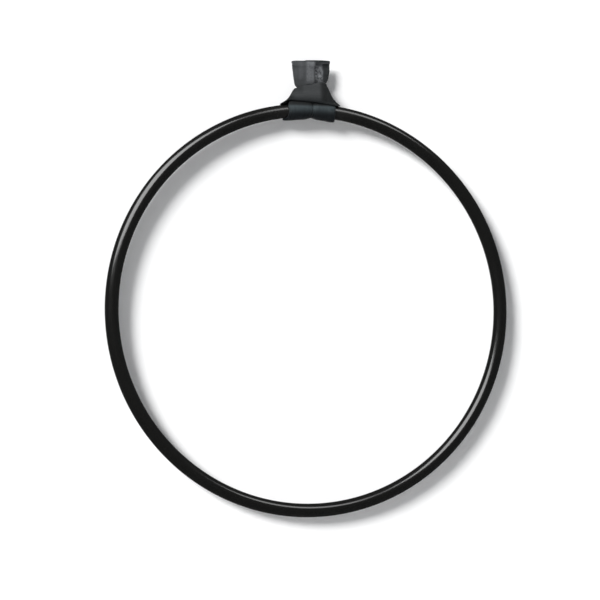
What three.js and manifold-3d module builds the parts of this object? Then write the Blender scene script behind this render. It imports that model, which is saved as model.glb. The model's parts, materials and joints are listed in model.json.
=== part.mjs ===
// Tabless aerial hoop on a short round sling.
// A rolled steel ring is closed by a butt weld over an internal spigot. A flat round sling is girth
// hitched round the tube at the weld: two wraps side by side, two legs up the middle, and the bight
// spread across them as a skirt. The legs meet in the eye that the hoop hangs from.
// Millimetres, +Z up, X across the hoop, the front of the hitch towards -Y.
// The assembly is drawn about the tube's centre at the hitch, and moved so that the origin is the
// top of the eye's bore, where the load hangs.

import * as THREE from "three";
import { mergeVertices } from "three/addons/utils/BufferGeometryUtils.js";
import Module from "manifold-3d";

// Hoop
const HOOP_OUTER_DIAMETER = 850;
const TUBE_DIAMETER = 28;
const TUBE_WALL = 2;
const WELD_ROOT_GAP = 1.2;
const WELD_BEVEL = 1.4;
const SPIGOT_LENGTH = 112;
const SPIGOT_WALL = 2;
const PLUG_WELD_DIAMETER = 8;
const PLUG_WELD_REACH = 43;

// Sling band
const BAND_THICKNESS = 5.2;
const SLEEVE_WALL = 0.9;
const LEFT_WRAP_WIDTH = 55;
const RIGHT_WRAP_WIDTH = 52;
const LEG_OVERLAP = 15;
const WRAP_STEP_DEGREES = 30;

// Hitch, measured from the tube's centre
const HITCH_HALF_SPAN = 60;
const SKIRT_HALF_WIDTH_AT_WAIST = 31;
const SKIRT_TOP = 53;
const SKIRT_SLANT = 4.5;
const NECK_HALF_WIDTH = 25;
const NECK_TOP = 56;
const SHOULDER_HEIGHT = 61;
const SHOULDER_HALF_WIDTH = 35;

// Flexing places of the legs, measured from the tube's centre
const LEAN_HEIGHT = 46;
const LEAN_ROOF_FOOT = 30;
const TWIST_HEIGHT = 65;
const SWING_HEIGHT = 77.5;
const LEAN_LIMIT = THREE.MathUtils.degToRad(15);
const LEAN_SPARE = THREE.MathUtils.degToRad(0.6);

// Eye
const EYE_BORE = 11;
const SLING_RISE = 102;
const EYE_HALF_WIDTH = 40;
const EYE_STEP_DEGREES = 22.5;
const EYE_SPREAD_SHARE = 0.7;

// Clearances
const SEAT_GAP = 0.3;
const SLIDING_GAP = 0.6;
const FOLD_GAP = 1;
const CUT_OVERRUN = 5;

// Facet counts
const RING_STEPS = 88;
const TUBE_SIDES = 16;
const PLUG_SIDES = 12;
const BAND_SIDES = 12;
const STEPS_PER_STATION = 2;
const SECTION_ROUNDNESS_SHARE = 0.72;
const THINNING_START_SHARE = 0.25;
const THINNING_SHARE = 0.5;
const NECK_PAST_SHARE = 0.75;

// Sizes that follow from the values above
const TUBE_RADIUS = TUBE_DIAMETER / 2;
const BORE_RADIUS = TUBE_RADIUS - TUBE_WALL;
const HOOP_RADIUS = HOOP_OUTER_DIAMETER / 2 - TUBE_RADIUS;
const BAND_HALF = BAND_THICKNESS / 2;
const WRAP_RADIUS = TUBE_RADIUS + SLIDING_GAP + BAND_HALF;
const LEG_OFFSET = BAND_HALF + FOLD_GAP / 2;
const LEG_STACK_HALF = LEG_OFFSET + BAND_HALF;
const EYE_RADIUS = EYE_BORE / 2;
const EYE_BAND_RADIUS = EYE_RADIUS + BAND_HALF;
const EYE_HEIGHT = SLING_RISE - BAND_THICKNESS - EYE_RADIUS;
const CROWN_FOOT = SWING_HEIGHT + LEG_STACK_HALF + SEAT_GAP;
const HANG_HEIGHT = EYE_HEIGHT + EYE_RADIUS;

const wasm = await Module();
wasm.setup();

const vec = (x, y, z) => new THREE.Vector3(x, y, z);

// Finishes
const paintedSteel = () =>
  new THREE.MeshStandardMaterial({ color: 0x1b1c1e, roughness: 0.32, metalness: 0.1 });
const bareSteel = () =>
  new THREE.MeshStandardMaterial({ color: 0x8f9194, roughness: 0.45, metalness: 1 });
const weldSteel = () =>
  new THREE.MeshStandardMaterial({ color: 0x6f7072, roughness: 0.6, metalness: 1 });
const wovenSleeve = () =>
  new THREE.MeshStandardMaterial({ color: 0x3d3e41, roughness: 0.85, metalness: 0 });
const yarnCore = () =>
  new THREE.MeshStandardMaterial({ color: 0xd9d6cc, roughness: 0.9, metalness: 0 });

// A closed geometry from points and triangles, with its faces turned outwards.
function closedGeometry(points, triangles) {
  let sixfold = 0;
  for (const [a, b, c] of triangles) {
    sixfold += points[a].dot(vec(0, 0, 0).crossVectors(points[b], points[c]));
  }
  const facing = sixfold < 0 ? triangles.map(([a, b, c]) => [a, c, b]) : triangles;
  const geometry = new THREE.BufferGeometry().setFromPoints(points);
  geometry.setIndex(facing.flat());
  geometry.computeVertexNormals();
  return geometry;
}

// Joins rings of equal size, each to the next one, into a band of triangles.
function skin(ringCount, ringSize, first, flip) {
  const faces = [];
  for (let ring = 0; ring + 1 < ringCount; ring += 1) {
    for (let side = 0; side < ringSize; side += 1) {
      const next = (side + 1) % ringSize;
      const a = first + ring * ringSize + side;
      const b = first + ring * ringSize + next;
      const c = a + ringSize;
      const d = b + ringSize;
      faces.push(flip ? [a, c, b] : [a, b, c]);
      faces.push(flip ? [b, c, d] : [b, d, c]);
    }
  }
  return faces;
}

// A solid through a row of rings, closed at both ends by a fan.
function solidLoft(rings) {
  const size = rings[0].length;
  const points = rings.flat();
  const faces = skin(rings.length, size, 0, false);
  const last = (rings.length - 1) * size;
  for (let side = 1; side + 1 < size; side += 1) {
    faces.push([0, side + 1, side]);
    faces.push([last, last + side, last + side + 1]);
  }
  return closedGeometry(points, faces);
}

// A tube wall between outer and inner rings, closed at both ends by an annulus.
function shellLoft(outer, inner) {
  const size = outer[0].length;
  const points = [...outer.flat(), ...inner.flat()];
  const innerStart = outer.length * size;
  const faces = [
    ...skin(outer.length, size, 0, false),
    ...skin(inner.length, size, innerStart, true),
  ];
  const outerEnd = (outer.length - 1) * size;
  const innerEnd = innerStart + (inner.length - 1) * size;
  for (let side = 0; side < size; side += 1) {
    const next = (side + 1) % size;
    faces.push([side, innerStart + side, next], [next, innerStart + side, innerStart + next]);
    faces.push(
      [outerEnd + side, outerEnd + next, innerEnd + side],
      [outerEnd + next, innerEnd + next, innerEnd + side],
    );
  }
  return closedGeometry(points, faces);
}

// Boolean work
function toSolid(geometry) {
  const bare = geometry.clone();
  for (const name of Object.keys(bare.attributes)) {
    if (name !== "position") {
      bare.deleteAttribute(name);
    }
  }
  const merged = mergeVertices(bare);
  return new wasm.Manifold(
    new wasm.Mesh({
      numProp: 3,
      vertProperties: new Float32Array(merged.attributes.position.array),
      triVerts: new Uint32Array(merged.index.array),
    }),
  );
}

function toGeometry(solid) {
  const mesh = solid.getMesh();
  const geometry = new THREE.BufferGeometry();
  geometry.setAttribute("position", new THREE.BufferAttribute(mesh.vertProperties, 3));
  geometry.setIndex(new THREE.BufferAttribute(mesh.triVerts, 1));
  geometry.computeVertexNormals();
  return geometry;
}

const keepInside = (geometry, keeper) =>
  toGeometry(toSolid(geometry).intersect(toSolid(keeper)));

const named = (name, geometry, material) => {
  const mesh = new THREE.Mesh(geometry, material);
  mesh.name = name;
  return mesh;
};

// The tube's centre at an arc length from the weld, and the direction away from the hoop's middle.
function hoopFrame(arc) {
  const angle = arc / HOOP_RADIUS;
  const outward = vec(Math.sin(angle), 0, Math.cos(angle));
  const centre = outward.clone().multiplyScalar(HOOP_RADIUS);
  centre.z -= HOOP_RADIUS;
  return { centre, outward };
}

function tubeRing(arc, radius) {
  const { centre, outward } = hoopFrame(arc);
  const ring = [];
  for (let side = 0; side < TUBE_SIDES; side += 1) {
    const turn = (2 * Math.PI * side) / TUBE_SIDES;
    const point = centre.clone().addScaledVector(outward, radius * Math.cos(turn));
    point.y += radius * Math.sin(turn);
    ring.push(point);
  }
  return ring;
}

// Arc lengths of equal steps between two ends.
const arcSteps = (from, to, steps) =>
  Array.from({ length: steps + 1 }, (_, step) => from + ((to - from) * step) / steps);

// The rolled tube: open at the weld, its two ends bevelled from the outside.
function hoopTube() {
  const around = 2 * Math.PI * HOOP_RADIUS;
  const start = WELD_ROOT_GAP / 2;
  const end = around - WELD_ROOT_GAP / 2;
  const outer = [tubeRing(start, TUBE_RADIUS - WELD_BEVEL)];
  const inner = [tubeRing(start, BORE_RADIUS)];
  for (const arc of arcSteps(start + WELD_BEVEL, end - WELD_BEVEL, RING_STEPS)) {
    outer.push(tubeRing(arc, TUBE_RADIUS));
    inner.push(tubeRing(arc, BORE_RADIUS));
  }
  outer.push(tubeRing(end, TUBE_RADIUS - WELD_BEVEL));
  inner.push(tubeRing(end, BORE_RADIUS));
  let solid = toSolid(shellLoft(outer, inner));
  for (const [arc, face] of plugWeldPlaces()) {
    solid = solid.subtract(toSolid(plugAt(arc, face, PLUG_WELD_DIAMETER / 2 + SEAT_GAP, CUT_OVERRUN)));
  }
  return named("hoop_tube", toGeometry(solid), paintedSteel());
}

// Plug welds sit on the front and back of the tube, one on each side of the butt weld.
const plugWeldPlaces = () => [
  [-PLUG_WELD_REACH, -1],
  [-PLUG_WELD_REACH, 1],
  [PLUG_WELD_REACH, -1],
  [PLUG_WELD_REACH, 1],
];

// A round plug through the tube's wall, from just above the spigot to the tube's surface plus an overrun.
function plugAt(arc, face, radius, overrun) {
  const { centre } = hoopFrame(arc);
  const surface = Math.sqrt(TUBE_RADIUS ** 2 - radius ** 2);
  const length = surface - BORE_RADIUS + overrun;
  const plug = new THREE.CylinderGeometry(radius, radius, length, PLUG_SIDES);
  plug.translate(centre.x, face * (BORE_RADIUS + length / 2), centre.z);
  return plug;
}

// The weld metal that fills the groove between the bevelled ends.
function buttWeld() {
  const root = WELD_ROOT_GAP / 2 - SEAT_GAP;
  const cap = root + WELD_BEVEL;
  const profile = [
    new THREE.Vector2(BORE_RADIUS, -root),
    new THREE.Vector2(TUBE_RADIUS - WELD_BEVEL, -root),
    new THREE.Vector2(TUBE_RADIUS, -cap),
    new THREE.Vector2(TUBE_RADIUS, cap),
    new THREE.Vector2(TUBE_RADIUS - WELD_BEVEL, root),
    new THREE.Vector2(BORE_RADIUS, root),
    new THREE.Vector2(BORE_RADIUS, -root),
  ];
  const ring = new THREE.LatheGeometry(profile, 2 * TUBE_SIDES);
  ring.rotateZ(Math.PI / 2);
  return named("butt_weld", ring, weldSteel());
}

// The inner sleeve that bridges the butt weld.
function jointSpigot() {
  const outerRadius = BORE_RADIUS - SEAT_GAP;
  const arcs = arcSteps(-SPIGOT_LENGTH / 2, SPIGOT_LENGTH / 2, 2 * STEPS_PER_STATION);
  const outer = arcs.map((arc) => tubeRing(arc, outerRadius));
  const inner = arcs.map((arc) => tubeRing(arc, outerRadius - SPIGOT_WALL));
  return named("joint_spigot", shellLoft(outer, inner), bareSteel());
}

// A station of the sling: the two edges of the band's middle surface, its outward direction, and the
// share of its thickness that the second edge loses where the yarn lies away from it.
const station = (firstEdge, secondEdge, outward, thinning = 0) => ({
  firstEdge, secondEdge, outward, thinning,
});

// The height that the curved tube loses beside the hitch, faded out up the legs.
function hoopSag(x, z) {
  const low = WRAP_RADIUS + BAND_THICKNESS;
  const fade = 1 - THREE.MathUtils.smoothstep(z, low, SKIRT_TOP - BAND_THICKNESS);
  const reach = Math.min(Math.abs(x), HOOP_RADIUS);
  return (HOOP_RADIUS - Math.sqrt(HOOP_RADIUS ** 2 - reach ** 2)) * fade;
}

// Rings of the band through its stations, drawn in by an inset all round.
function bandRings(stations, inset) {
  const first = new THREE.CatmullRomCurve3(stations.map((s) => s.firstEdge));
  const second = new THREE.CatmullRomCurve3(stations.map((s) => s.secondEdge));
  const facing = new THREE.CatmullRomCurve3(stations.map((s) => s.outward));
  const steps = (stations.length - 1) * STEPS_PER_STATION;
  return Array.from({ length: steps + 1 }, (_, step) => {
    const share = step / steps;
    const before = stations[Math.floor(step / STEPS_PER_STATION)];
    const after = stations[Math.ceil(step / STEPS_PER_STATION)];
    const thinning = (before.thinning + after.thinning) / 2;
    const low = first.getPoint(share);
    const high = second.getPoint(share);
    const centre = low.clone().lerp(high, 0.5);
    const across = high.clone().sub(low);
    const halfWidth = across.length() / 2 - inset;
    across.normalize();
    const outward = facing.getPoint(share);
    outward.addScaledVector(across, -outward.dot(across)).normalize();
    return bandSection(centre, across, outward, halfWidth, inset, thinning);
  });
}

// One flat section with rounded edges. A thinned edge lies down on what the band wraps.
function bandSection(centre, across, outward, halfWidth, inset, thinning) {
  const ring = [];
  for (let side = 0; side < BAND_SIDES; side += 1) {
    const turn = (2 * Math.PI * (side + 0.5)) / BAND_SIDES;
    const flat = Math.sign(Math.cos(turn)) * Math.abs(Math.cos(turn)) ** SECTION_ROUNDNESS_SHARE;
    const thick = Math.sign(Math.sin(turn)) * Math.abs(Math.sin(turn)) ** SECTION_ROUNDNESS_SHARE;
    const lost = thinning * THREE.MathUtils.smoothstep(flat, THINNING_START_SHARE, 1) * BAND_HALF;
    const point = centre
      .clone()
      .addScaledVector(across, halfWidth * flat)
      .addScaledVector(outward, (BAND_HALF - inset - lost) * thick - lost);
    point.z -= hoopSag(point.x, point.z);
    ring.push(point);
  }
  return ring;
}

// A woven sleeve over its yarn core, both along the same stations and both finished alike.
function slingPair(name, stations, finish) {
  const outside = finish.rings(bandRings(stations, 0));
  const lining = finish.rings(bandRings(stations, SLEEVE_WALL));
  const core = finish.rings(bandRings(stations, SLEEVE_WALL + SEAT_GAP));
  return [
    named(name + "_sleeve", finish.solid(shellLoft(outside, lining)), wovenSleeve()),
    named(name + "_core", finish.solid(solidLoft(core)), yarnCore()),
  ];
}

// Finishes of a stretch's ends: cut by a keeper, or both rises eased down under the lean's roof.
const trimmedBy = (keeper) => ({
  rings: (rings) => rings,
  solid: (geometry) => keepInside(geometry, keeper),
});

const underRoof = {
  rings: (rings) => {
    const rises = [...rings.slice(0, RISE_RINGS), ...rings.slice(-RISE_RINGS)];
    for (const point of rises.flat()) {
      const share = THREE.MathUtils.clamp(
        THREE.MathUtils.inverseLerp(LEAN_ROOF_FOOT, LEAN_HEIGHT, point.z), 0, 1,
      );
      point.z -= share * Math.abs(point.x) * Math.tan(LEAN_LIMIT + LEAN_SPARE);
    }
    return rings;
  },
  solid: (geometry) => geometry,
};

// Leg edges at a height above the tube: the front leg lies to the left, the rear one to the right.
function legStation(side, height, outerEdge, innerEdge, y) {
  const low = vec(side * outerEdge, y, height);
  const high = vec(side * innerEdge, y, height);
  return station(low, high, vec(0, -1, 0));
}

// How far each leg reaches past the middle, where the legs hang free.
const LEG_PAST_MIDDLE = -LEG_OVERLAP / 2;

// The strands' rise from the wraps to the lean, from the top. Each row has the height as a share of the
// skirt's top, y of the legs' offset, the outer edge of the neck and the inner edge past the middle.
const leftRiseShares = [
  [LEAN_HEIGHT / SKIRT_TOP, 1.0, 1.0, 0.75],
  [0.8, 1.3, 1.0, 0.7],
  [0.7, 2.1, 1.08, 0.5],
  [0.58, 3.1, 1.28, 0.1],
  [0.46, 3.95, 1.6, -0.15],
  [0.27, 4.95, 2.04, -0.1],
];
const rightRiseShares = [
  [LEAN_HEIGHT / SKIRT_TOP, 1.0, 1.0, 0.75],
  [0.8, 0.45, 0.98, 0.65],
  [0.7, -0.45, 1.04, 0.35],
  [0.58, -1.65, 1.2, -0.05],
  [0.46, -3.05, 1.48, -0.12],
  [0.27, -4.75, 1.9, -0.1],
];
const RISE_RINGS = leftRiseShares.length * STEPS_PER_STATION;

// The wraps' outer edges, a share of the wrap's width at each step round the tube from its front.
const leftWrapShares = [0.9, 0.93, 1.01, 1.06, 1.05, 1.02, 1, 1];
const rightWrapShares = [0.92, 0.92, 0.93, 0.95, 0.98, 1, 1, 1];

// One strand of the hitch from the leg, down over the tube's front, round it and up its back.
// side is -1 for the left strand, whose leg lies in front, and 1 for the right one.
function strand(side, wrapWidth) {
  const legY = side * LEG_OFFSET;
  const innerWrap = FOLD_GAP / 2;
  const riseShares = side < 0 ? leftRiseShares : rightRiseShares;
  const rise = riseShares.map(([heightShare, yShare, outerShare, innerShare]) =>
    legStation(
      side,
      heightShare * SKIRT_TOP,
      outerShare * NECK_HALF_WIDTH,
      innerShare * LEG_PAST_MIDDLE,
      yShare * legY,
    ),
  );
  const wrapShares = side < 0 ? leftWrapShares : rightWrapShares;
  const wraps = wrapShares.map((widthShare, step) => {
    const turn = THREE.MathUtils.degToRad(step * WRAP_STEP_DEGREES);
    const y = -WRAP_RADIUS * Math.cos(turn);
    const z = -WRAP_RADIUS * Math.sin(turn);
    const outerWrap = innerWrap + widthShare * wrapWidth;
    const outward = vec(0, -Math.cos(turn), -Math.sin(turn));
    const edges = [vec(side * outerWrap, y, z), vec(side * innerWrap, y, z)];
    return station(...edges, outward, THINNING_SHARE);
  });
  return [...rise, ...wraps];
}

// The strand's way from the tube's back over its top and round the legs, row by row to the middle.
// Outer edges follow the tube and inner edges climb to the waist. Each row has:
// outer edge, x as a share of the span, y and z of the wrap radius;
// inner edge, x as a share of the waist's half width, y of the wrap radius, z of the skirt's top;
// the direction that it faces; and how much of the skirt's slant it takes.
const skirtShares = [
  [[0.95, 0.71, 0.71], [0.3, 0.86, 0.3], [0, 0.7, 0.7], 0],
  [[0.98, 0.32, 0.96], [0.68, 0.62, 0.53], [0.25, 0.72, 0.65], 0],
  [[1, -0.12, 1.02], [0.94, 0.34, 0.74], [0.62, 0.3, 0.72], 0],
  [[0.96, -0.62, 1.02], [1.04, 0, 0.87], [0.8, -0.15, 0.58], 0],
  [[0.83, -1.08, 0.98], [0.95, -0.52, 0.95], [0.6, -0.65, 0.45], 1],
  [[0.6, -1.24, 0.92], [0.68, -0.56, 0.99], [0.3, -0.86, 0.4], 0.9],
  [[0.3, -1.29, 0.88], [0.34, -0.57, 1], [0.1, -0.92, 0.38], 0.45],
  [[0, -1.3, 0.87], [0, -0.57, 1], [0, -0.93, 0.36], 0],
];

// side is -1 for the left half of the skirt and 1 for the right one.
const skirtHalf = (side) =>
  skirtShares.map(([outer, inner, facing, slantShare]) => {
    const slant = side * slantShare * SKIRT_SLANT;
    return station(
      vec(side * outer[0] * HITCH_HALF_SPAN, outer[1] * WRAP_RADIUS, outer[2] * WRAP_RADIUS - slant),
      vec(side * inner[0] * SKIRT_HALF_WIDTH_AT_WAIST, inner[1] * WRAP_RADIUS, inner[2] * SKIRT_TOP + slant),
      vec(side * facing[0], facing[1], facing[2]),
    );
  });

// The whole hitch, one unbroken band from the front leg to the rear leg. The halves share the middle.
function hitchStations() {
  const left = [...strand(-1, LEFT_WRAP_WIDTH), ...skirtHalf(-1)];
  const right = [...strand(1, RIGHT_WRAP_WIDTH), ...skirtHalf(1).slice(0, -1)];
  return [...left, ...right.reverse()];
}

// An outline in the XZ or YZ plane, drawn out along the third axis, as a keeper for trimming.
function keeperAlongY(outline) {
  const depth = 2 * SLING_RISE;
  const shape = new THREE.Shape(outline.map(([x, z]) => new THREE.Vector2(x, z)));
  const keeper = new THREE.ExtrudeGeometry(shape, { depth, bevelEnabled: false });
  keeper.translate(0, 0, -depth / 2);
  keeper.rotateX(Math.PI / 2);
  return keeper;
}

// A slab between two heights.
const slab = (low, high) =>
  keeperAlongY([
    [-SLING_RISE, low],
    [SLING_RISE, low],
    [SLING_RISE, high],
    [-SLING_RISE, high],
  ]);

// Everything between a floor and a half round about the swing axis, so that the legs fold fore and aft.
function knuckleKeeper(floor) {
  const shape = new THREE.Shape();
  shape.moveTo(-LEG_STACK_HALF, floor);
  shape.lineTo(LEG_STACK_HALF, floor);
  shape.lineTo(LEG_STACK_HALF, SWING_HEIGHT);
  shape.absarc(0, SWING_HEIGHT, LEG_STACK_HALF, 0, Math.PI, false);
  shape.lineTo(-LEG_STACK_HALF, floor);
  const depth = 2 * SLING_RISE;
  const keeper = new THREE.ExtrudeGeometry(shape, { depth, bevelEnabled: false, curveSegments: BAND_SIDES });
  keeper.translate(0, 0, -depth / 2);
  keeper.rotateX(Math.PI / 2);
  keeper.rotateZ(Math.PI / 2);
  return keeper;
}

// How far a leg reaches to its own side at a height: a narrow neck in the skirt, shoulders above it,
// then a slow spread up to the eye.
function legReach(height) {
  const neck = [LEAN_HEIGHT, NECK_HALF_WIDTH];
  const collar = [NECK_TOP, NECK_HALF_WIDTH];
  const shoulder = [SHOULDER_HEIGHT, SHOULDER_HALF_WIDTH];
  const crown = [SLING_RISE, EYE_HALF_WIDTH];
  const outline = [neck, collar, shoulder, crown];
  const above = outline.findIndex(([z]) => z >= height);
  const next = outline[Math.max(above, 1)];
  const last = outline[Math.max(above, 1) - 1];
  return THREE.MathUtils.mapLinear(height, last[0], next[0], last[1], next[1]);
}

// Two straight legs through a row of heights.
function legPair(name, heights, keeper) {
  return [["front", -1], ["rear", 1]].flatMap(([place, side]) => {
    const stations = heights.map((height) => {
      const past = height > NECK_TOP ? LEG_PAST_MIDDLE : NECK_PAST_SHARE * LEG_PAST_MIDDLE;
      return legStation(side, height, legReach(height), past, side * LEG_OFFSET);
    });
    return slingPair(name + "_" + place, stations, trimmedBy(keeper));
  });
}

// The eye: up the front leg, over the pin's place and down the rear leg.
function eyeStations() {
  const legs = [
    [CROWN_FOOT - SEAT_GAP, LEG_OFFSET],
    [(CROWN_FOOT + EYE_HEIGHT) / 2, (LEG_OFFSET + EYE_BAND_RADIUS) / 2],
  ];
  const front = legs.map(([height, y]) => legStation(-1, height, legReach(height), LEG_PAST_MIDDLE, -y));
  const rear = legs.map(([height, y]) => legStation(1, height, legReach(height), LEG_PAST_MIDDLE, y));
  const crown = [];
  for (let degrees = 0; degrees <= 180; degrees += EYE_STEP_DEGREES) {
    const turn = THREE.MathUtils.degToRad(degrees);
    const y = -EYE_BAND_RADIUS * Math.cos(turn);
    const z = EYE_HEIGHT + EYE_BAND_RADIUS * Math.sin(turn);
    const spread = Math.sin(turn) ** EYE_SPREAD_SHARE;
    const reach = legReach(z);
    const freeEdge = THREE.MathUtils.lerp(-LEG_PAST_MIDDLE, reach, spread);
    const leftX = degrees <= 90 ? -reach : -freeEdge;
    const rightX = degrees <= 90 ? freeEdge : reach;
    crown.push(station(vec(leftX, y, z), vec(rightX, y, z), vec(0, -Math.cos(turn), Math.sin(turn))));
  }
  const flipped = rear.map((s) => station(s.secondEdge, s.firstEdge, vec(0, 1, 0)));
  return [...front, ...crown, ...flipped.reverse()];
}

// Sub-assemblies
function hoopAssembly() {
  const group = new THREE.Group();
  group.add(hoopTube(), jointSpigot(), buttWeld());
  plugWeldPlaces().forEach(([arc, face]) => {
    const place = (arc < 0 ? "left" : "right") + (face < 0 ? "_front" : "_rear");
    group.add(named("plug_weld_" + place, plugAt(arc, face, PLUG_WELD_DIAMETER / 2, 0), weldSteel()));
  });
  return group;
}

function slingAssembly() {
  const group = new THREE.Group();
  group.add(...slingPair("hitch", hitchStations(), underRoof));
  const neckFoot = LEAN_HEIGHT + SEAT_GAP;
  const twistBelow = TWIST_HEIGHT - SEAT_GAP / 2;
  const twistAbove = TWIST_HEIGHT + SEAT_GAP / 2;
  const lower = [neckFoot, NECK_TOP, twistBelow];
  const upper = [twistAbove, SWING_HEIGHT, CROWN_FOOT];
  group.add(...legPair("lower_leg", lower, slab(neckFoot, twistBelow)));
  group.add(...legPair("upper_leg", upper, knuckleKeeper(twistAbove)));
  group.add(...slingPair("eye", eyeStations(), trimmedBy(slab(CROWN_FOOT, SLING_RISE + CUT_OVERRUN))));
  return group;
}

const lyraHoop = new THREE.Group();
const assembly = new THREE.Group();
assembly.add(hoopAssembly(), slingAssembly());
assembly.position.z = -HANG_HEIGHT;
lyraHoop.add(assembly);

export default lyraHoop;
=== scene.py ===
"""Lyra hoop: a rolled steel ring under gloss black powder coat, hung from a short black round sling.

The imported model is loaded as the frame. The ring's tube and the sling's sleeves are built again here
as fine surfaces in the same places, and every piece gets a node-based finish. Lengths of the sling are
written in millimetres from the tube's centre at the hitch, and everything built is in metres.
"""

import json
import logging
import math
from collections.abc import Callable
from dataclasses import astuple, dataclass, field, replace
from enum import Enum

import bpy
from mathutils import Matrix, Vector, noise

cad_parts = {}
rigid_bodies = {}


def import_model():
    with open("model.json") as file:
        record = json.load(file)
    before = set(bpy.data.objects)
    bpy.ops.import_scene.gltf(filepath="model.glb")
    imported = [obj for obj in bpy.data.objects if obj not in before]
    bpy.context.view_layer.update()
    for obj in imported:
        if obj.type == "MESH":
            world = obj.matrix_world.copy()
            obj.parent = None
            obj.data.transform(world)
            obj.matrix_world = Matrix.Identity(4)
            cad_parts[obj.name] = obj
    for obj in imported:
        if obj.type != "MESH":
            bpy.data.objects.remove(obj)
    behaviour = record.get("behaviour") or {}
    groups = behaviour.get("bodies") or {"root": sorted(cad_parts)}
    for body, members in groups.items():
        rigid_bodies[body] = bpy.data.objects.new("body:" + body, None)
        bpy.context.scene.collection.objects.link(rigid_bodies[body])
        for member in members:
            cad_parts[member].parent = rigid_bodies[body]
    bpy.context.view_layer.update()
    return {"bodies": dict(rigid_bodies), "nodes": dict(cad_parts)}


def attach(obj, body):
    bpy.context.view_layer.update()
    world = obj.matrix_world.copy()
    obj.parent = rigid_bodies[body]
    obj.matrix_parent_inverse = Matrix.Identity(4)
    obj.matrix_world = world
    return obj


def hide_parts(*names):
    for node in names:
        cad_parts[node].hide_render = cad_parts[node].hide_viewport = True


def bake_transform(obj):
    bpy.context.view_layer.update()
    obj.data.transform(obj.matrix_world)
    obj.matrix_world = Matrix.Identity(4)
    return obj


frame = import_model()

LOG = logging.getLogger("lyra_hoop")
MM = 0.001
# in millimetres: the top of the eye's bore above the tube's centre, the ring's radius to the middle of
# its tube, and the tube's own radius
HANG_HEIGHT = 96.8
HOOP_RADIUS = 411.0
TUBE_RADIUS = 14.0
HITCH = Vector((0, 0, -HANG_HEIGHT * MM))
HOOP_CENTRE = HITCH + Vector((0, 0, -HOOP_RADIUS * MM))


class Side(Enum):
    """The two strands of the sling, as the sign of their x."""

    FRONT_LEFT = -1
    REAR_RIGHT = 1


def place(point: Vector) -> Vector:
    """A point in millimetres from the tube's centre at the hitch, in the row frame's metres."""
    return HITCH + point * MM


def smooth(low: float, high: float, value: float) -> float:
    """A soft step from 0 at low to 1 at high."""
    share = min(1.0, max(0.0, (value - low) / (high - low)))
    return share * share * (3 - 2 * share)


def blend_value(first: float, second: float, share: float) -> float:
    """The value a share of the way from first to second."""
    return first + (second - first) * share


# Finishes


def linear(hex_colour: str) -> tuple[float, float, float, float]:
    """Turns an sRGB hex colour to linear values.

    Args:
        hex_colour: six hex digits after a hash.

    Returns:
        Red, green, blue and an alpha of 1, linear.
    """
    values = [int(hex_colour[i : i + 2], 16) / 255 for i in (1, 3, 5)]
    r, g, b = (v / 12.92 if v <= 0.04045 else ((v + 0.055) / 1.055) ** 2.4 for v in values)
    return r, g, b, 1.0


def add(tree: bpy.types.NodeTree, kind: str, inputs: dict | None = None, **settings) -> bpy.types.Node:
    """Adds one shader node with its settings, values and links.

    Args:
        tree: the node tree.
        kind: the node's type, without the ShaderNode that each begins with.
        inputs: socket name or number to a value, to the output socket that feeds it, or to a node whose
            first output in use feeds it.
        settings: properties of the node itself.

    Returns:
        The new node.
    """
    node = tree.nodes.new("ShaderNode" + kind)
    for name, value in settings.items():
        setattr(node, name, value)
    for name, value in (inputs or {}).items():
        if isinstance(value, bpy.types.Node):
            value = next(socket for socket in value.outputs if socket.enabled)
        if isinstance(value, bpy.types.NodeSocket):
            tree.links.new(value, node.inputs[name])
        else:
            node.inputs[name].default_value = value
    return node


def blank_material(name: str) -> tuple[bpy.types.Material, bpy.types.NodeTree]:
    """A node material with nothing in its tree.

    Args:
        name: the finish's name.

    Returns:
        The material and its tree.
    """
    material = bpy.data.materials.new(name)
    material.use_nodes = True
    material.node_tree.nodes.clear()
    return material, material.node_tree


def dress(piece: bpy.types.Object, material: bpy.types.Material) -> None:
    """Puts one material on the whole piece, in its object's own slot.

    Args:
        piece: a new piece or a CAD node.
        material: its finish.
    """
    if not piece.material_slots:
        piece.data.materials.append(material)
    for slot in piece.material_slots:
        slot.link = "OBJECT"
        slot.material = material


def waves(tree: bpy.types.NodeTree, length: bpy.types.NodeSocket, pitch: float) -> bpy.types.Node:
    """The rise and fall of ribs, strands or stitches, as a sine.

    Args:
        tree: the node tree.
        length: the way that they follow one another.
        pitch: from one to the next, in metres.

    Returns:
        The node of the sine, from -1 to 1.
    """
    turns = add(tree, "Math", {0: length, 1: 2 * math.pi / pitch}, operation="MULTIPLY")
    return add(tree, "Math", {0: turns}, operation="SINE")


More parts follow.
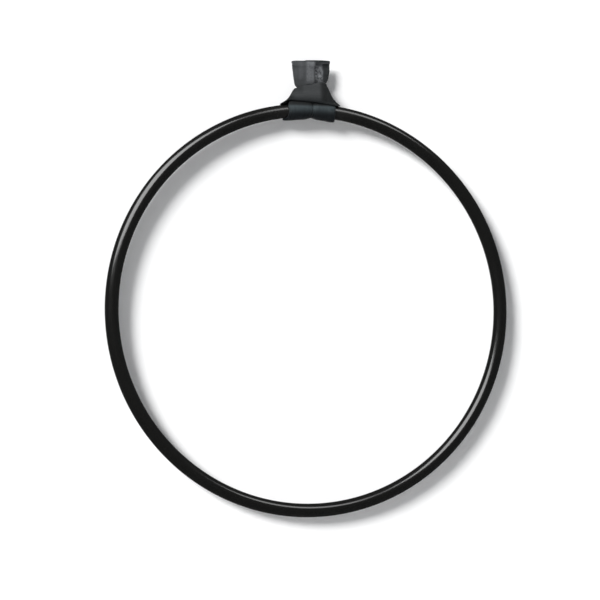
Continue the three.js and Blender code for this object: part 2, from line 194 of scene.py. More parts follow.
@dataclass(frozen=True)
class PowderCoat:
    """Gloss black polyester powder coat, sprayed on rolled steel tube and baked.

    A near-black film under a clear-looking gloss skin. The eye sees long crisp highlights that waver a
    little, from the orange peel of 2 to 3 mm that such a coat dries with, and duller rub marks where
    the sling slides.

    Attributes:
        black: the coat's colour.
        scuff: its colour where it is rubbed.
        peel_size: the width of the orange peel's dimples, in metres, as are all lengths here.
        peel_depth: their depth.
        smear_size: the size of the smears in the rub marks.
        handling_size: the size of the patches that hands have dulled.
        roughness: of the film.
        skin_roughness: of the gloss skin over it.
        rub_start: how far from the hitch the rub marks are strongest.
        rub_reach: where they end.
    """

    black: str = "#121211"
    scuff: str = "#1e1e1d"
    peel_size: float = 2.6 * MM
    peel_depth: float = 0.012 * MM
    smear_size: float = 9 * MM
    handling_size: float = 60 * MM
    roughness: float = 0.2
    skin_roughness: float = 0.16
    rub_start: float = 55 * MM
    rub_reach: float = 105 * MM

    def material(self) -> bpy.types.Material:
        """The node material.

        Returns:
            The material.
        """
        material, tree = blank_material("gloss_black_powder_coat")
        at = add(tree, "TexCoord").outputs["Object"]

        # the rub marks fade out along the tube beside the sling
        centred = add(tree, "VectorMath", {0: at, 1: tuple(HITCH)}, operation="DISTANCE")
        fade = {"From Min": self.rub_start, "From Max": self.rub_reach, "To Min": 1.0, "To Max": 0.0}
        near = add(tree, "MapRange", {"Value": centred} | fade)
        smears = {"Vector": at, "Scale": 1 / self.smear_size, "Detail": 4.0, "Roughness": 0.6}
        rubbed = add(tree, "Math", {0: near, 1: add(tree, "TexNoise", smears)}, operation="MULTIPLY")

        # hands leave the coat a little duller in places
        handling = {"Vector": at, "Scale": 1 / self.handling_size, "Detail": 3.0, "Roughness": 0.55}
        dullness = {
            "Value": add(tree, "TexNoise", handling),
            "From Min": 0.35,
            "From Max": 0.7,
            "To Min": self.roughness - 0.03,
            "To Max": self.roughness + 0.05,
        }
        dull = add(tree, "MapRange", dullness)
        roughness = add(tree, "Math", {0: rubbed, 1: 0.3, 2: dull}, operation="MULTIPLY_ADD")

        tints = {"Factor": rubbed, "A": linear(self.black), "B": linear(self.scuff)}
        peel = {"Vector": at, "Scale": 1 / self.peel_size, "Detail": 1.0, "Roughness": 0.4}
        relief = {"Height": add(tree, "TexNoise", peel), "Strength": 0.35, "Distance": self.peel_depth}
        bump = add(tree, "Bump", relief)
        surface = {
            "Base Color": add(tree, "Mix", tints, data_type="RGBA"),
            "Roughness": roughness,
            "IOR": 1.5,
            "Coat Weight": 1.0,
            "Coat Roughness": self.skin_roughness,
            "Coat IOR": 1.5,
            "Normal": bump,
            "Coat Normal": bump,
        }
        add(tree, "OutputMaterial", {"Surface": add(tree, "BsdfPrincipled", surface)})
        return material


@dataclass(frozen=True)
class WovenSleeve:
    """Black polyester sleeve of a round sling, woven flat and pulled over the yarn.

    Matt, with a faint sheen at glancing angles. Ribs run along the sling at a pitch of 1.4 mm. The legs
    are grey, with a painted highlight in a stripe beside the front leg's fold, the skirt is darker, with
    painted shade towards its hem, and the wraps are polished by the tube and show a soft blue-grey
    shine, which is partly a painted highlight over the tube's top. The pieces carry two attributes:
    wear, from -1 where the cloth is painted darkest, for painted shade or a darker colour, to 1 where
    it is palest, from rubbing or painted light, and hem, the distance from the sleeve's stitched edge
    in metres.

    Attributes:
        leg_grey: the legs, lighter than the skirt.
        skirt_grey: the skirt.
        hem_painted_shade: painted shade on the skirt's lower part, which turns down away from the light, and
            on the cloth near its hem.
        wrap_black: the wraps under the tube.
        wrap_painted_highlight: painted highlight on the wraps over the tube's top and front, where the light
            from above falls.
        dark_cloth_and_painted_shade: the darker colour, laid as painted shade where the cloth turns from the
            light or lies in shadow, and as a darker colour elsewhere.
        dust_and_painted_light: rubbed and dusty cloth, and painted light on the stripe beside the front
            leg's fold and inside the eye.
        thread: the seam's thread.
        shine: the tint of the cloth's shine.
        rib_pitch: from rib to rib, in metres, as are all lengths here.
        pick_pitch: from pick to pick.
        rib_depth: the depth of the weave.
        crease_depth: the depth of the creases.
        stitch_pitch: from stitch to stitch.
        stitch_inset: from the edge to the row of stitches.
        stitch_half: half a stitch's width.
        stitch_depth: how far a stitch stands up.
        cloth_roughness: how dull the cloth is.
        polished_roughness: the same for the polished wraps.
        polish_heights: from the tube's centre, where the polish is 0 and where it is 1.
        skirt_heights: the same for the change from the hem's painted shade to the skirt's grey.
        leg_heights: the same for the change to the legs' grey.
        wrap_highlight_heights: the same for the wraps, from black underneath to the painted highlight over
            the top.
    """

    leg_grey: str = "#4b4c4e"
    skirt_grey: str = "#3d3e3f"
    hem_painted_shade: str = "#1d1f20"
    wrap_black: str = "#1e2124"
    wrap_painted_highlight: str = "#40484b"
    dark_cloth_and_painted_shade: str = "#1b1c1c"
    dust_and_painted_light: str = "#8f9194"
    thread: str = "#2c2d2f"
    shine: str = "#e9f4f6"
    rib_pitch: float = 1.4 * MM
    pick_pitch: float = 0.9 * MM
    rib_depth: float = 0.14 * MM
    crease_depth: float = 2.0 * MM
    stitch_pitch: float = 4.0 * MM
    stitch_inset: float = 3.0 * MM
    stitch_half: float = 0.55 * MM
    stitch_depth: float = 0.35 * MM
    cloth_roughness: float = 0.68
    polished_roughness: float = 0.33
    polish_heights: tuple[float, float] = (11 * MM, 4 * MM)
    skirt_heights: tuple[float, float] = (12 * MM, 34 * MM)
    leg_heights: tuple[float, float] = (48 * MM, 78 * MM)
    wrap_highlight_heights: tuple[float, float] = (-12 * MM, 6 * MM)

    def material(self) -> bpy.types.Material:
        """The node material. Its UV map is in metres: around the sleeve, and along the sling.

        Returns:
            The material.
        """
        material, tree = blank_material("woven_black_polyester_sleeve")
        uv = add(tree, "UVMap", uv_map="sleeve")
        around, along = add(tree, "SeparateXYZ", {"Vector": uv}).outputs[:2]
        z = add(tree, "SeparateXYZ", {"Vector": add(tree, "TexCoord").outputs["Object"]}).outputs["Z"]
        wear_and_painted_light = add(tree, "Attribute", attribute_name="wear_and_painted_light").outputs["Fac"]
        hem = add(tree, "Attribute", attribute_name="hem").outputs["Fac"]

        # plain weave: ribs along the sling, crossed by picks
        rib = waves(tree, around, self.rib_pitch)
        weave = add(tree, "Math", {0: rib, 1: waves(tree, along, self.pick_pitch)}, operation="MULTIPLY")
        cord = add(tree, "Math", {0: rib, 1: 0.6, 2: weave}, operation="MULTIPLY_ADD")

        # streaks of warp thread that took the dye differently, creases across the band, and crinkles
        streaks = self.clouds(tree, uv, 2.6 * MM, 60 * MM, 2.0)
        creases = self.clouds(tree, uv, 13 * MM, 26 * MM, 5.0)
        crinkles = self.clouds(tree, uv, 3.2 * MM, 5.5 * MM, 3.0)

        # soft steps: polished wraps, skirt and legs by height, and one row of lock stitch beside the edge
        from_row = add(tree, "Math", {0: hem, 1: self.stitch_inset}, operation="SUBTRACT")
        from_row = add(tree, "Math", {0: from_row}, operation="ABSOLUTE")
        soft = {"interpolation_type": "SMOOTHSTEP"}
        heights = (self.polish_heights, self.skirt_heights, self.leg_heights, self.wrap_highlight_heights)
        rows = [(z, HITCH.z + low, HITCH.z + high) for low, high in heights]
        rows.append((from_row, self.stitch_half, 0.5 * self.stitch_half))
        rows.append((waves(tree, along, self.stitch_pitch), -0.7, -0.3))
        polish, on_skirt, on_leg, wrap_highlight_share, on_row, beat = (
            add(tree, "MapRange", {"Value": value, "From Min": low, "From Max": high}, **soft)
            for value, low, high in rows
        )
        stitch = add(tree, "Math", {0: on_row, 1: beat}, operation="MULTIPLY")
        shades = {"Value": streaks, "From Min": 0.3, "From Max": 0.7, "To Min": 0.86, "To Max": 1.12}
        patches = {"Value": crinkles, "From Min": 0.35, "From Max": 0.65, "To Min": 0.55, "To Max": 1.25}
        paler, darker, sewn = (
            add(tree, "Math", {0: value, 1: share}, operation="MULTIPLY")
            for value, share in ((wear_and_painted_light, add(tree, "MapRange", patches)), (wear_and_painted_light, -1.0), (stitch, 0.6))
        )

        # the colours, each laid over the ones before it: painted shade on the skirt's lower part, the
        # skirt's and the legs' greys, the wraps' painted shade and highlight, the streaks, the paler and
        # darker marks, and the thread
        wraps = {"Factor": wrap_highlight_share, "A": linear(self.wrap_black), "B": linear(self.wrap_painted_highlight)}
        body = linear(self.hem_painted_shade)
        for share, tint, way in (
            (on_skirt, linear(self.skirt_grey), "MIX"),
            (on_leg, linear(self.leg_grey), "MIX"),
            # the wraps step from nearly black underneath to a lighter blue-grey over the top: painted shade
            # and painted highlight for the light from above
            (polish, add(tree, "Mix", wraps, data_type="RGBA"), "MIX"),
            (1.0, add(tree, "MapRange", shades), "MULTIPLY"),
            # rubbed and dusty cloth, and painted light, where the marks are above 0
            (paler, linear(self.dust_and_painted_light), "MIX"),
            # painted shade, and a darker colour, where the marks are below 0
            (darker, linear(self.dark_cloth_and_painted_shade), "MIX"),
            (sewn, linear(self.thread), "MIX"),
        ):
            layer = {"Factor": share, "A": body, "B": tint}
            body = add(tree, "Mix", layer, data_type="RGBA", blend_type=way)

        # the relief: the weave, the stitches over it and the creases over both
        relief = add(tree, "Bump", {"Height": cord, "Strength": 0.6, "Distance": self.rib_depth})
        for height, strength, depth in ((stitch, 0.6, self.stitch_depth), (creases, 0.4, self.crease_depth)):
            inputs = {"Height": height, "Strength": strength, "Distance": depth, "Normal": relief}
            relief = add(tree, "Bump", inputs)
        gloss = {"Value": polish, "To Min": self.cloth_roughness, "To Max": self.polished_roughness}
        surface = {
            "Base Color": body,
            "Roughness": add(tree, "MapRange", gloss),
            "IOR": 1.5,
            "Specular IOR Level": 0.32,
            "Specular Tint": linear(self.shine),
            "Sheen Weight": 0.05,
            "Sheen Roughness": 0.45,
            "Normal": relief,
        }
        add(tree, "OutputMaterial", {"Surface": add(tree, "BsdfPrincipled", surface)})
        return material

    @staticmethod
    def clouds(
        tree: bpy.types.NodeTree, uv: bpy.types.Node, around: float, along: float, detail: float
    ) -> bpy.types.Node:
        """Soft patches on the sleeve's UV map.

        Args:
            tree: the node tree.
            uv: the UV map's node.
            around: the patches' size around the sleeve, in metres.
            along: their size along the sling, in metres.
            detail: how many finer layers of noise there are.

        Returns:
            The noise node.
        """
        at = add(tree, "Mapping", {"Vector": uv, "Scale": (1 / around, 1 / along, 1.0)})
        return add(tree, "TexNoise", {"Vector": at, "Scale": 1.0, "Detail": detail, "Roughness": 0.6})


@dataclass(frozen=True)
class SteelFinish:
    """Bare or welded mild steel, hidden under the sling and inside the tube.

    Brushed or rippled grey metal, which shows as a dull grey with a fine grain.

    Attributes:
        name: the material's name.
        colour: the metal's colour.
        roughness: how dull it is.
        grain: from one brush mark or ripple to the next, in metres.
        grain_depth: how deep they are, in metres.
    """

    name: str
    colour: str
    roughness: float
    grain: float
    grain_depth: float = 0.1 * MM

    def material(self) -> bpy.types.Material:
        """The node material.

        Returns:
            The material.
        """
        material, tree = blank_material(self.name)
        at = add(tree, "TexCoord").outputs["Object"]
        grain = add(tree, "TexNoise", {"Vector": at, "Scale": 1 / self.grain, "Detail": 3.0})
        spread = {"Value": grain, "To Min": self.roughness - 0.1, "To Max": self.roughness + 0.1}
        relief = {"Height": grain, "Strength": 0.4, "Distance": self.grain_depth}
        surface = {
            "Base Color": linear(self.colour),
            "Metallic": 1.0,
            "Roughness": add(tree, "MapRange", spread),
            "Normal": add(tree, "Bump", relief),
        }
        add(tree, "OutputMaterial", {"Surface": add(tree, "BsdfPrincipled", surface)})
        return material


@dataclass(frozen=True)
class YarnHank:
    """Undyed polyester yarn, wound in a loose hank inside the sleeve.

    Off-white strands with a soft shine, along the sling.

    Attributes:
        colour: the strands' colour.
        shadow: the colour between them.
        strand: from one to the next, in metres.
        strand_depth: how deep the grooves between them are, in metres.
    """

    colour: str = "#d9d6cc"
    shadow: str = "#a9a598"
    strand: float = 1.0 * MM
    strand_depth: float = 0.2 * MM

    def material(self) -> bpy.types.Material:
        """The node material.

        Returns:
            The material.
        """
        material, tree = blank_material("undyed_polyester_yarn")
        at = add(tree, "TexCoord").outputs["Object"]
        across = add(tree, "SeparateXYZ", {"Vector": at}).outputs["X"]
        strands = waves(tree, across, self.strand)
        share = add(tree, "MapRange", {"Value": strands, "From Min": -1.0})
        tints = {"Factor": share, "A": linear(self.shadow), "B": linear(self.colour)}
        relief = {"Height": strands, "Strength": 0.5, "Distance": self.strand_depth}
        surface = {
            "Base Color": add(tree, "Mix", tints, data_type="RGBA"),
            "Roughness": 0.55,
            "Sheen Weight": 0.3,
            "Normal": add(tree, "Bump", relief),
        }
        add(tree, "OutputMaterial", {"Surface": add(tree, "BsdfPrincipled", surface)})
        return material


# Modelling


def deselect() -> None:
    """Leaves nothing selected, in object mode."""
    if bpy.context.object and bpy.context.object.mode != "OBJECT":
        bpy.ops.object.mode_set(mode="OBJECT")
    bpy.ops.object.select_all(action="DESELECT")


def settle(piece: bpy.types.Object, name: str) -> bpy.types.Object:
    """Names a piece and moves its place into its mesh.

    Args:
        piece: the piece.
        name: its name, for the object and the mesh.

    Returns:
        The same piece.
    """
    deselect()
    bpy.context.view_layer.objects.active = piece
    piece.select_set(True)
    bpy.ops.object.transform_apply(location=True, rotation=True, scale=True)
    piece.name = name
    piece.data.name = name
    return piece


def apply_modifier(piece: bpy.types.Object, kind: str, **settings) -> None:
    """Adds one modifier with its settings and applies it.

    Args:
        piece: the piece.
        kind: the modifier's type.
        settings: its settings.
    """
    deselect()
    bpy.context.view_layer.objects.active = piece
    piece.select_set(True)
    modifier = piece.modifiers.new(kind.lower(), kind)
    for name, value in settings.items():
        setattr(modifier, name, value)
    bpy.ops.object.modifier_apply(modifier=modifier.name)


def select_where(piece: bpy.types.Object, wanted: Callable[[Vector], bool]) -> None:
    """Selects the vertices of a mesh in edit mode whose place passes a test.

    Args:
        piece: the object, in edit mode.
        wanted: a function from a place in millimetres from the hitch to True or False.
    """
    bpy.ops.mesh.select_mode(type="VERT")
    bpy.ops.mesh.select_all(action="DESELECT")
    bpy.ops.object.mode_set(mode="OBJECT")
    for vertex in piece.data.vertices:
        vertex.select = wanted((vertex.co - HITCH) / MM)
    bpy.ops.object.mode_set(mode="EDIT")


@dataclass
class Hoop:
    """The ring: one rolled tube, closed by a butt weld that is dressed and painted over.

    Attributes:
        coat: the paint.
        bare: the spigot's finish.
        weld: the finish of the butt weld and the plug welds.
        sides: facets round the tube.
        steps: facets round the ring.
        wall: the tube's wall, in millimetres.
        merge: points closer than this are joined, in millimetres.
        cut_reach: how far from the weld the tube is cut for its bead, in millimetres.
        bead_half: half the width of the weld's bead, in millimetres.
        bead_rise: how far the bead stands up under the paint, in millimetres.
    """

    coat: PowderCoat = field(default_factory=PowderCoat)
    bare: SteelFinish = SteelFinish("bare_mild_steel", "#8f9194", 0.42, 0.5 * MM)
    weld: SteelFinish = SteelFinish("dressed_weld_steel", "#6f7072", 0.5, 0.8 * MM)
    sides: int = 48
    steps: int = 360
    wall: float = 2.0
    merge: float = 0.02
    cut_reach: float = 20.0
    bead_half: float = 2.6
    bead_rise: float = 0.35

    def tube(self) -> bpy.types.Object:
        """Spins the tube's section round the hoop, raises the weld's bead and gives the tube its wall.

        Returns:
            The ring.
        """
        deselect()
        bpy.ops.mesh.primitive_circle_add(
            vertices=self.sides,
            radius=TUBE_RADIUS * MM,
            fill_type="NOTHING",
            location=HITCH,
            rotation=(0, math.pi / 2, 0),
        )
        ring = settle(bpy.context.object, "ring_tube")
        bpy.ops.object.mode_set(mode="EDIT")
        bpy.ops.mesh.select_all(action="SELECT")
        bpy.ops.mesh.spin(
            steps=self.steps, angle=2 * math.pi, center=HOOP_CENTRE, axis=(0, 1, 0), use_auto_merge=True
        )
        bpy.ops.mesh.select_all(action="SELECT")
        bpy.ops.mesh.remove_doubles(threshold=self.merge * MM)
        bpy.ops.mesh.normals_make_consistent(inside=False)
        for x in (-self.bead_half, -self.bead_half / 2, self.bead_half / 2, self.bead_half):
            select_where(ring, lambda p: abs(p.x) < self.cut_reach and p.z > -HOOP_RADIUS)
            bpy.ops.mesh.bisect(plane_co=place(Vector((x, 0, 0))), plane_no=(1, 0, 0))
        swell = 1 + self.bead_rise / TUBE_RADIUS
        select_where(ring, lambda p: abs(p.x) < 0.75 * self.bead_half and p.z > -HOOP_RADIUS)
        bpy.ops.transform.resize(value=(1, swell, swell), center_override=HITCH)
        bpy.ops.object.mode_set(mode="OBJECT")
        apply_modifier(ring, "SOLIDIFY", thickness=self.wall * MM, offset=-1.0)
        bpy.ops.object.shade_smooth()
        return ring

    def build(self) -> list[bpy.types.Object]:
        """Builds the ring and dresses it and the hidden steel parts.

        Returns:
            The ring, the spigot and the welds.
        """
        ring = self.tube()
        dress(ring, self.coat.material())
        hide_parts("hoop_tube")
        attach(ring, "hoop")
        made = [ring]
        bare, weld = self.bare.material(), self.weld.material()
        for name, node in frame["nodes"].items():
            if name == "joint_spigot" or "weld" in name:
                dress(node, weld if "weld" in name else bare)
                made.append(node)
        return made


@dataclass(frozen=True)
class Section:
    """The shape of the flat sleeve's cross-section at a station.

    Attributes:
        outer_edge: roundness of the edge away from the middle of the hitch, 0 square to 1 a long taper.
        inner_edge: the same for the edge at the middle.
        backing: 0 where both faces are full, 1 where the back lies flat on what it wraps.
        rolls: depth of the two soft rolls in a tight wrap, as a share of the thickness.
        puff: how far the front face stands out past the band's thickness, in millimetres.
        back_puff: the same for the back face.
        bow: how far the band is drawn in between its edges, in millimetres.
        hang: how far the front face of a wrap bulges past its thickness at its outer end.
    """

    outer_edge: float = 0.75
    inner_edge: float = 0.75
    backing: float = 0.0
    rolls: float = 0.0
    puff: float = 0.0
    back_puff: float = 0.0
    bow: float = 0.0
    hang: float = 0.0

    @property
    def wrapped(self) -> float:
        """How far the section is that of a tight wrap: 1 in one, 0 away from it."""
        return min(1.0, 4 * self.rolls / WRAP.rolls)

    def turned(self) -> "Section":
        """The same section seen from the band's back."""
        return replace(
            self,
            outer_edge=self.inner_edge,
            inner_edge=self.outer_edge,
            puff=self.back_puff,
            back_puff=self.puff,
        )

    def toward(self, other: "Section", share: float) -> "Section":
        """The section a share of the way to another."""
        pairs = zip(astuple(self), astuple(other))
        return Section(*(blend_value(a, b, share) for a, b in pairs))


LEG = Section()
CROWN = Section(outer_edge=0.3, inner_edge=0.3)
WRAP = Section(outer_edge=0.4, inner_edge=1.25, backing=1.0, rolls=0.14)
SKIRT = Section(outer_edge=0.95, inner_edge=1.1, backing=0.75)


@dataclass(frozen=True)
class Station:
    """A place on the sling's way: its two edges, the way that its front faces, and its section."""

    outer: Vector
    inner: Vector
    facing: Vector
    section: Section


def curve_point(points: list[Vector], index: int, share: float) -> Vector:
    """A point on the smooth curve through a row of points, on the stretch after one of them.

    Args:
        points: the points that the curve passes.
        index: the point that the stretch starts at.
        share: how far along the stretch, from 0 to 1.

    Returns:
        The point on a centripetal Catmull-Rom curve.
    """
    last = len(points) - 1
    start, stop = points[index], points[min(index + 1, last)]
    before = points[index - 1] if index > 0 else start * 2 - stop
    after = points[index + 2] if index + 2 <= last else stop * 2 - start
    gaps = [max((b - a).length ** 0.5, 1e-4) for a, b in ((before, start), (start, stop), (stop, after))]
    leave = (start - before) / gaps[0] - (stop - before) / (gaps[0] + gaps[1]) + (stop - start) / gaps[1]
    arrive = (stop - start) / gaps[1] - (after - start) / (gaps[1] + gaps[2]) + (after - stop) / gaps[2]
    leave, arrive = leave * gaps[1], arrive * gaps[1]
    t2, t3 = share**2, share**3
    return (
        start * (2 * t3 - 3 * t2 + 1)
        + leave * (t3 - 2 * t2 + share)
        + stop * (3 * t2 - 2 * t3)
        + arrive * (t3 - t2)
    )


@dataclass
class Ring:
    """One ring of points round the sleeve, with its distance from the hem at each, and how much paler or
    darker the cloth is painted there, from rubbing or painted light and shade.
    """

    points: list[Vector] = field(default_factory=list)
    wear_and_painted_light: list[float] = field(default_factory=list)
    hem: list[float] = field(default_factory=list)


@dataclass(frozen=True)
class Zone:
    """A part of the cloth with soft edges, as it shows from the front.

    Each edge is two places in millimetres from the hitch: where the zone is 0, and where it is 1. A zone
    has no end on a side that has no edge.

    Attributes:
        left: its left edge, in x.
        right: its right edge, in x.
        foot: its lower edge, in z.
        top: its upper edge, in z.
        mirrored: whether it lies on both sides of the middle.
        wear_and_painted_light: how much paler the cloth is painted there, from rubbing or painted light,
            below 0 where it is darker, from painted shade or a darker colour.
    """

    left: tuple[float, float] | None = None
    right: tuple[float, float] | None = None
    foot: tuple[float, float] | None = None
    top: tuple[float, float] | None = None
    mirrored: bool = False
    wear_and_painted_light: float = 0.0

    def share(self, x: float, z: float) -> float:
        """How far a point lies in the zone.

        Args:
            x: the point's place across, in millimetres from the hitch.
            z: its height.

        Returns:
            1 in the zone, 0 away from it.
        """
        across = abs(x) if self.mirrored else x
        inside = 1.0
        for edge, value in ((self.left, across), (self.right, across), (self.foot, z), (self.top, z)):
            if edge:
                inside *= smooth(*edge, value)
        return inside


@dataclass(frozen=True)
class Ripples:
    """Soft hollows and rises of one size in the cloth, or soft patches of wear.

    Attributes:
        width: their size across, in millimetres.
        height: their size up the cloth, in millimetres.
        depth: how far they rise, in millimetres, or how strong the wear is.
        lean: the height in which they move one width to the left, below 0 to the right.
        layer: where in the noise they are taken from, so that no two patterns are the same.
    """

    width: float
    height: float
    depth: float
    lean: float = math.inf
    layer: float = 0.0

    def at(self, x: float, z: float, y: float = 0.0) -> float:
        """The rise at a point.

        Args:
            x: the point's place across, in millimetres from the hitch.
            z: its height.
            y: its distance behind the middle plane, where the pattern changes with that too.

        Returns:
            The rise, between -depth and depth.
        """
        sample = Vector((x / self.width + z / self.lean, self.layer + y / self.width, z / self.height))
        return self.depth * noise.noise(sample)


# the legs: their rubbed edges; a painted highlight on the stripe beside the front leg's folded edge, where
# the fold catches the light, and a faint paler stripe left of it; the rear leg's crinkled patch; painted
# shade on the rear leg's right side beside it, which turns away from the light, and a darker colour below
# it; and painted light above the patch, on the inside of the eye, which lies in shade
RUBBED_EDGE = Zone(foot=(30, 60), wear_and_painted_light=0.12)
STRIPE_HIGHLIGHT = Zone(left=(-13, -8), right=(7, 4.5), foot=(52, 66), wear_and_painted_light=0.42)
FAINT_STRIPE = Zone(left=(-30, -24), right=(-16, -22), foot=(56, 70), wear_and_painted_light=0.1)
PATCH = Zone(left=(7, 10), right=(28, 24), foot=(57, 62), top=(98, 92), wear_and_painted_light=1.0)
# painted shade on the rear leg's right side, which turns away from the light
BESIDE_PATCH_SHADE = Zone(left=(24, 29), foot=(54, 60), wear_and_painted_light=-0.75)
BELOW_PATCH = Zone(top=(64, 56), wear_and_painted_light=-0.3)
# painted light on the inside of the eye, which lies in shade
EYE_INSIDE_LIGHT = Zone(left=(5, 9), foot=(88, 96), wear_and_painted_light=0.3)

# the top of the eye, which turns away from the light
EYE_TOP = Zone(foot=(99, 101.5), wear_and_painted_light=-0.8)

# the skirt: painted shade on its right side, which is turned away from the light, and on its two tips, which
# roll under, a darker colour on its upper left, and the painted shadow of its hem, a dark band on the wraps
# under it
TURNED_SIDE_SHADE = Zone(left=(13, 22), foot=(10, 16), top=(60, 55), wear_and_painted_light=-0.85)
# painted shade on the skirt's tips, which roll under
SKIRT_TIPS_SHADE = Zone(left=(34, 46), top=(32, 20), mirrored=True, wear_and_painted_light=-1.2)
SKIRT_LEFT = Zone(right=(-16, -24), foot=(28, 38), wear_and_painted_light=-0.45)
# painted shadow of the skirt's hem on the wraps
HEM_SHADOW = Zone(foot=(6.5, 11.5), top=(30, 26), wear_and_painted_light=-0.9)

# the shape: the height of the skirt's bent side, the valley between the wraps and the front leg's fold
BENT_SIDE = Zone(foot=(12, 20), top=(62, 58))
VALLEY = Zone(right=(34, 16), mirrored=True)
FOLD = Zone(left=(-12.5, -9.5))

# the uneven cloth all over, the creases beside the valley, and the ripples and scuffs of the patch
UNEVEN = Ripples(width=14, height=22, depth=0.35)
VALLEY_CREASES = Ripples(width=4.5, height=34, depth=0.7, layer=9.3)
PATCH_RIPPLES = Ripples(width=4.2, height=6.5, depth=0.9, lean=12, layer=3.1)
PATCH_SCUFFS = Ripples(width=2.6, height=7.5, depth=0.8, lean=-7, layer=7.7)


@dataclass(frozen=True)
class Strand:
    """The sizes that one side of the sling has of its own: its leg, its wrap and its half of the skirt.

    Attributes:
        side: the side that it lies on.
        leg_edge: heights down the leg from the eye, and how far out its outer edge lies at each.
        neck: the leg behind the skirt, from the top down. Each row has its height as a share of the
            skirt's, its distance from the middle plane as a share of a leg's, and its outer and inner
            edges as shares of the neck's half-width and of half the overlap.
        eye_edge: how far out the outer edge lies halfway from the eye's foot to its bore.
        wrap_width: how wide the wrap is on the tube.
        wrap_edge: its outer edge as a share of that, for each 30 degrees from the tube's front down.
        wrap_hang: how far its lower face bulges at the outer end.
        span: from the middle to the skirt's tip.
        waist: from the middle to the end of the skirt's top edge.
        slope: how far that edge climbs to the right on this side.
        drawn_in: how deep the skirt's bow is.
    """

    side: Side
    leg_edge: tuple[tuple[float, float], ...]
    neck: tuple[tuple[float, float, float, float], ...]
    eye_edge: float
    wrap_width: float
    wrap_edge: tuple[float, ...]
    wrap_hang: float
    span: float
    waist: float
    slope: float
    drawn_in: float


FRONT = Strand(
    side=Side.FRONT_LEFT,
    leg_edge=((84, 40.1), (79, 39.2), (74, 38.7), (67, 37.9), (60, 36.9), (55, 36.1), (50.5, 34.6)),
    neck=(
        (0.868, 1.0, 1.22, 0.75),
        (0.8, 1.3, 1.05, 0.7),
        (0.7, 2.1, 1.08, 0.5),
        (0.58, 3.1, 1.28, 0.1),
        (0.46, 3.95, 1.6, 0.02),
        (0.27, 4.95, 2.04, 0.0),
    ),
    eye_edge=41.0,
    wrap_width=55.0,
    wrap_edge=(0.9, 0.91, 0.95, 1.08, 1.06, 1.02, 1, 1),
    wrap_hang=0.3,
    span=64.5,
    waist=35.0,
    slope=4.5,
    drawn_in=6.6,
)
REAR = Strand(
    side=Side.REAR_RIGHT,
    leg_edge=((84, 40.8), (79, 40.0), (74, 39.1), (67, 37.9), (60, 34.2), (55.5, 30.6), (50.5, 28.6)),
    neck=(
        (0.868, 1.0, 0.99, 0.75),
        (0.8, 0.45, 0.97, 0.65),
        (0.7, -0.45, 1.04, 0.35),
        (0.58, -1.65, 1.2, -0.05),
        (0.46, -3.05, 1.48, 0.02),
        (0.27, -4.75, 1.9, 0.0),
    ),
    eye_edge=41.2,
    wrap_width=52.0,
    wrap_edge=(0.92, 0.92, 0.93, 0.96, 0.98, 1, 1, 1),
    wrap_hang=2.2,
    span=60.0,
    waist=32.2,
    slope=8.5,
    drawn_in=4.8,
)


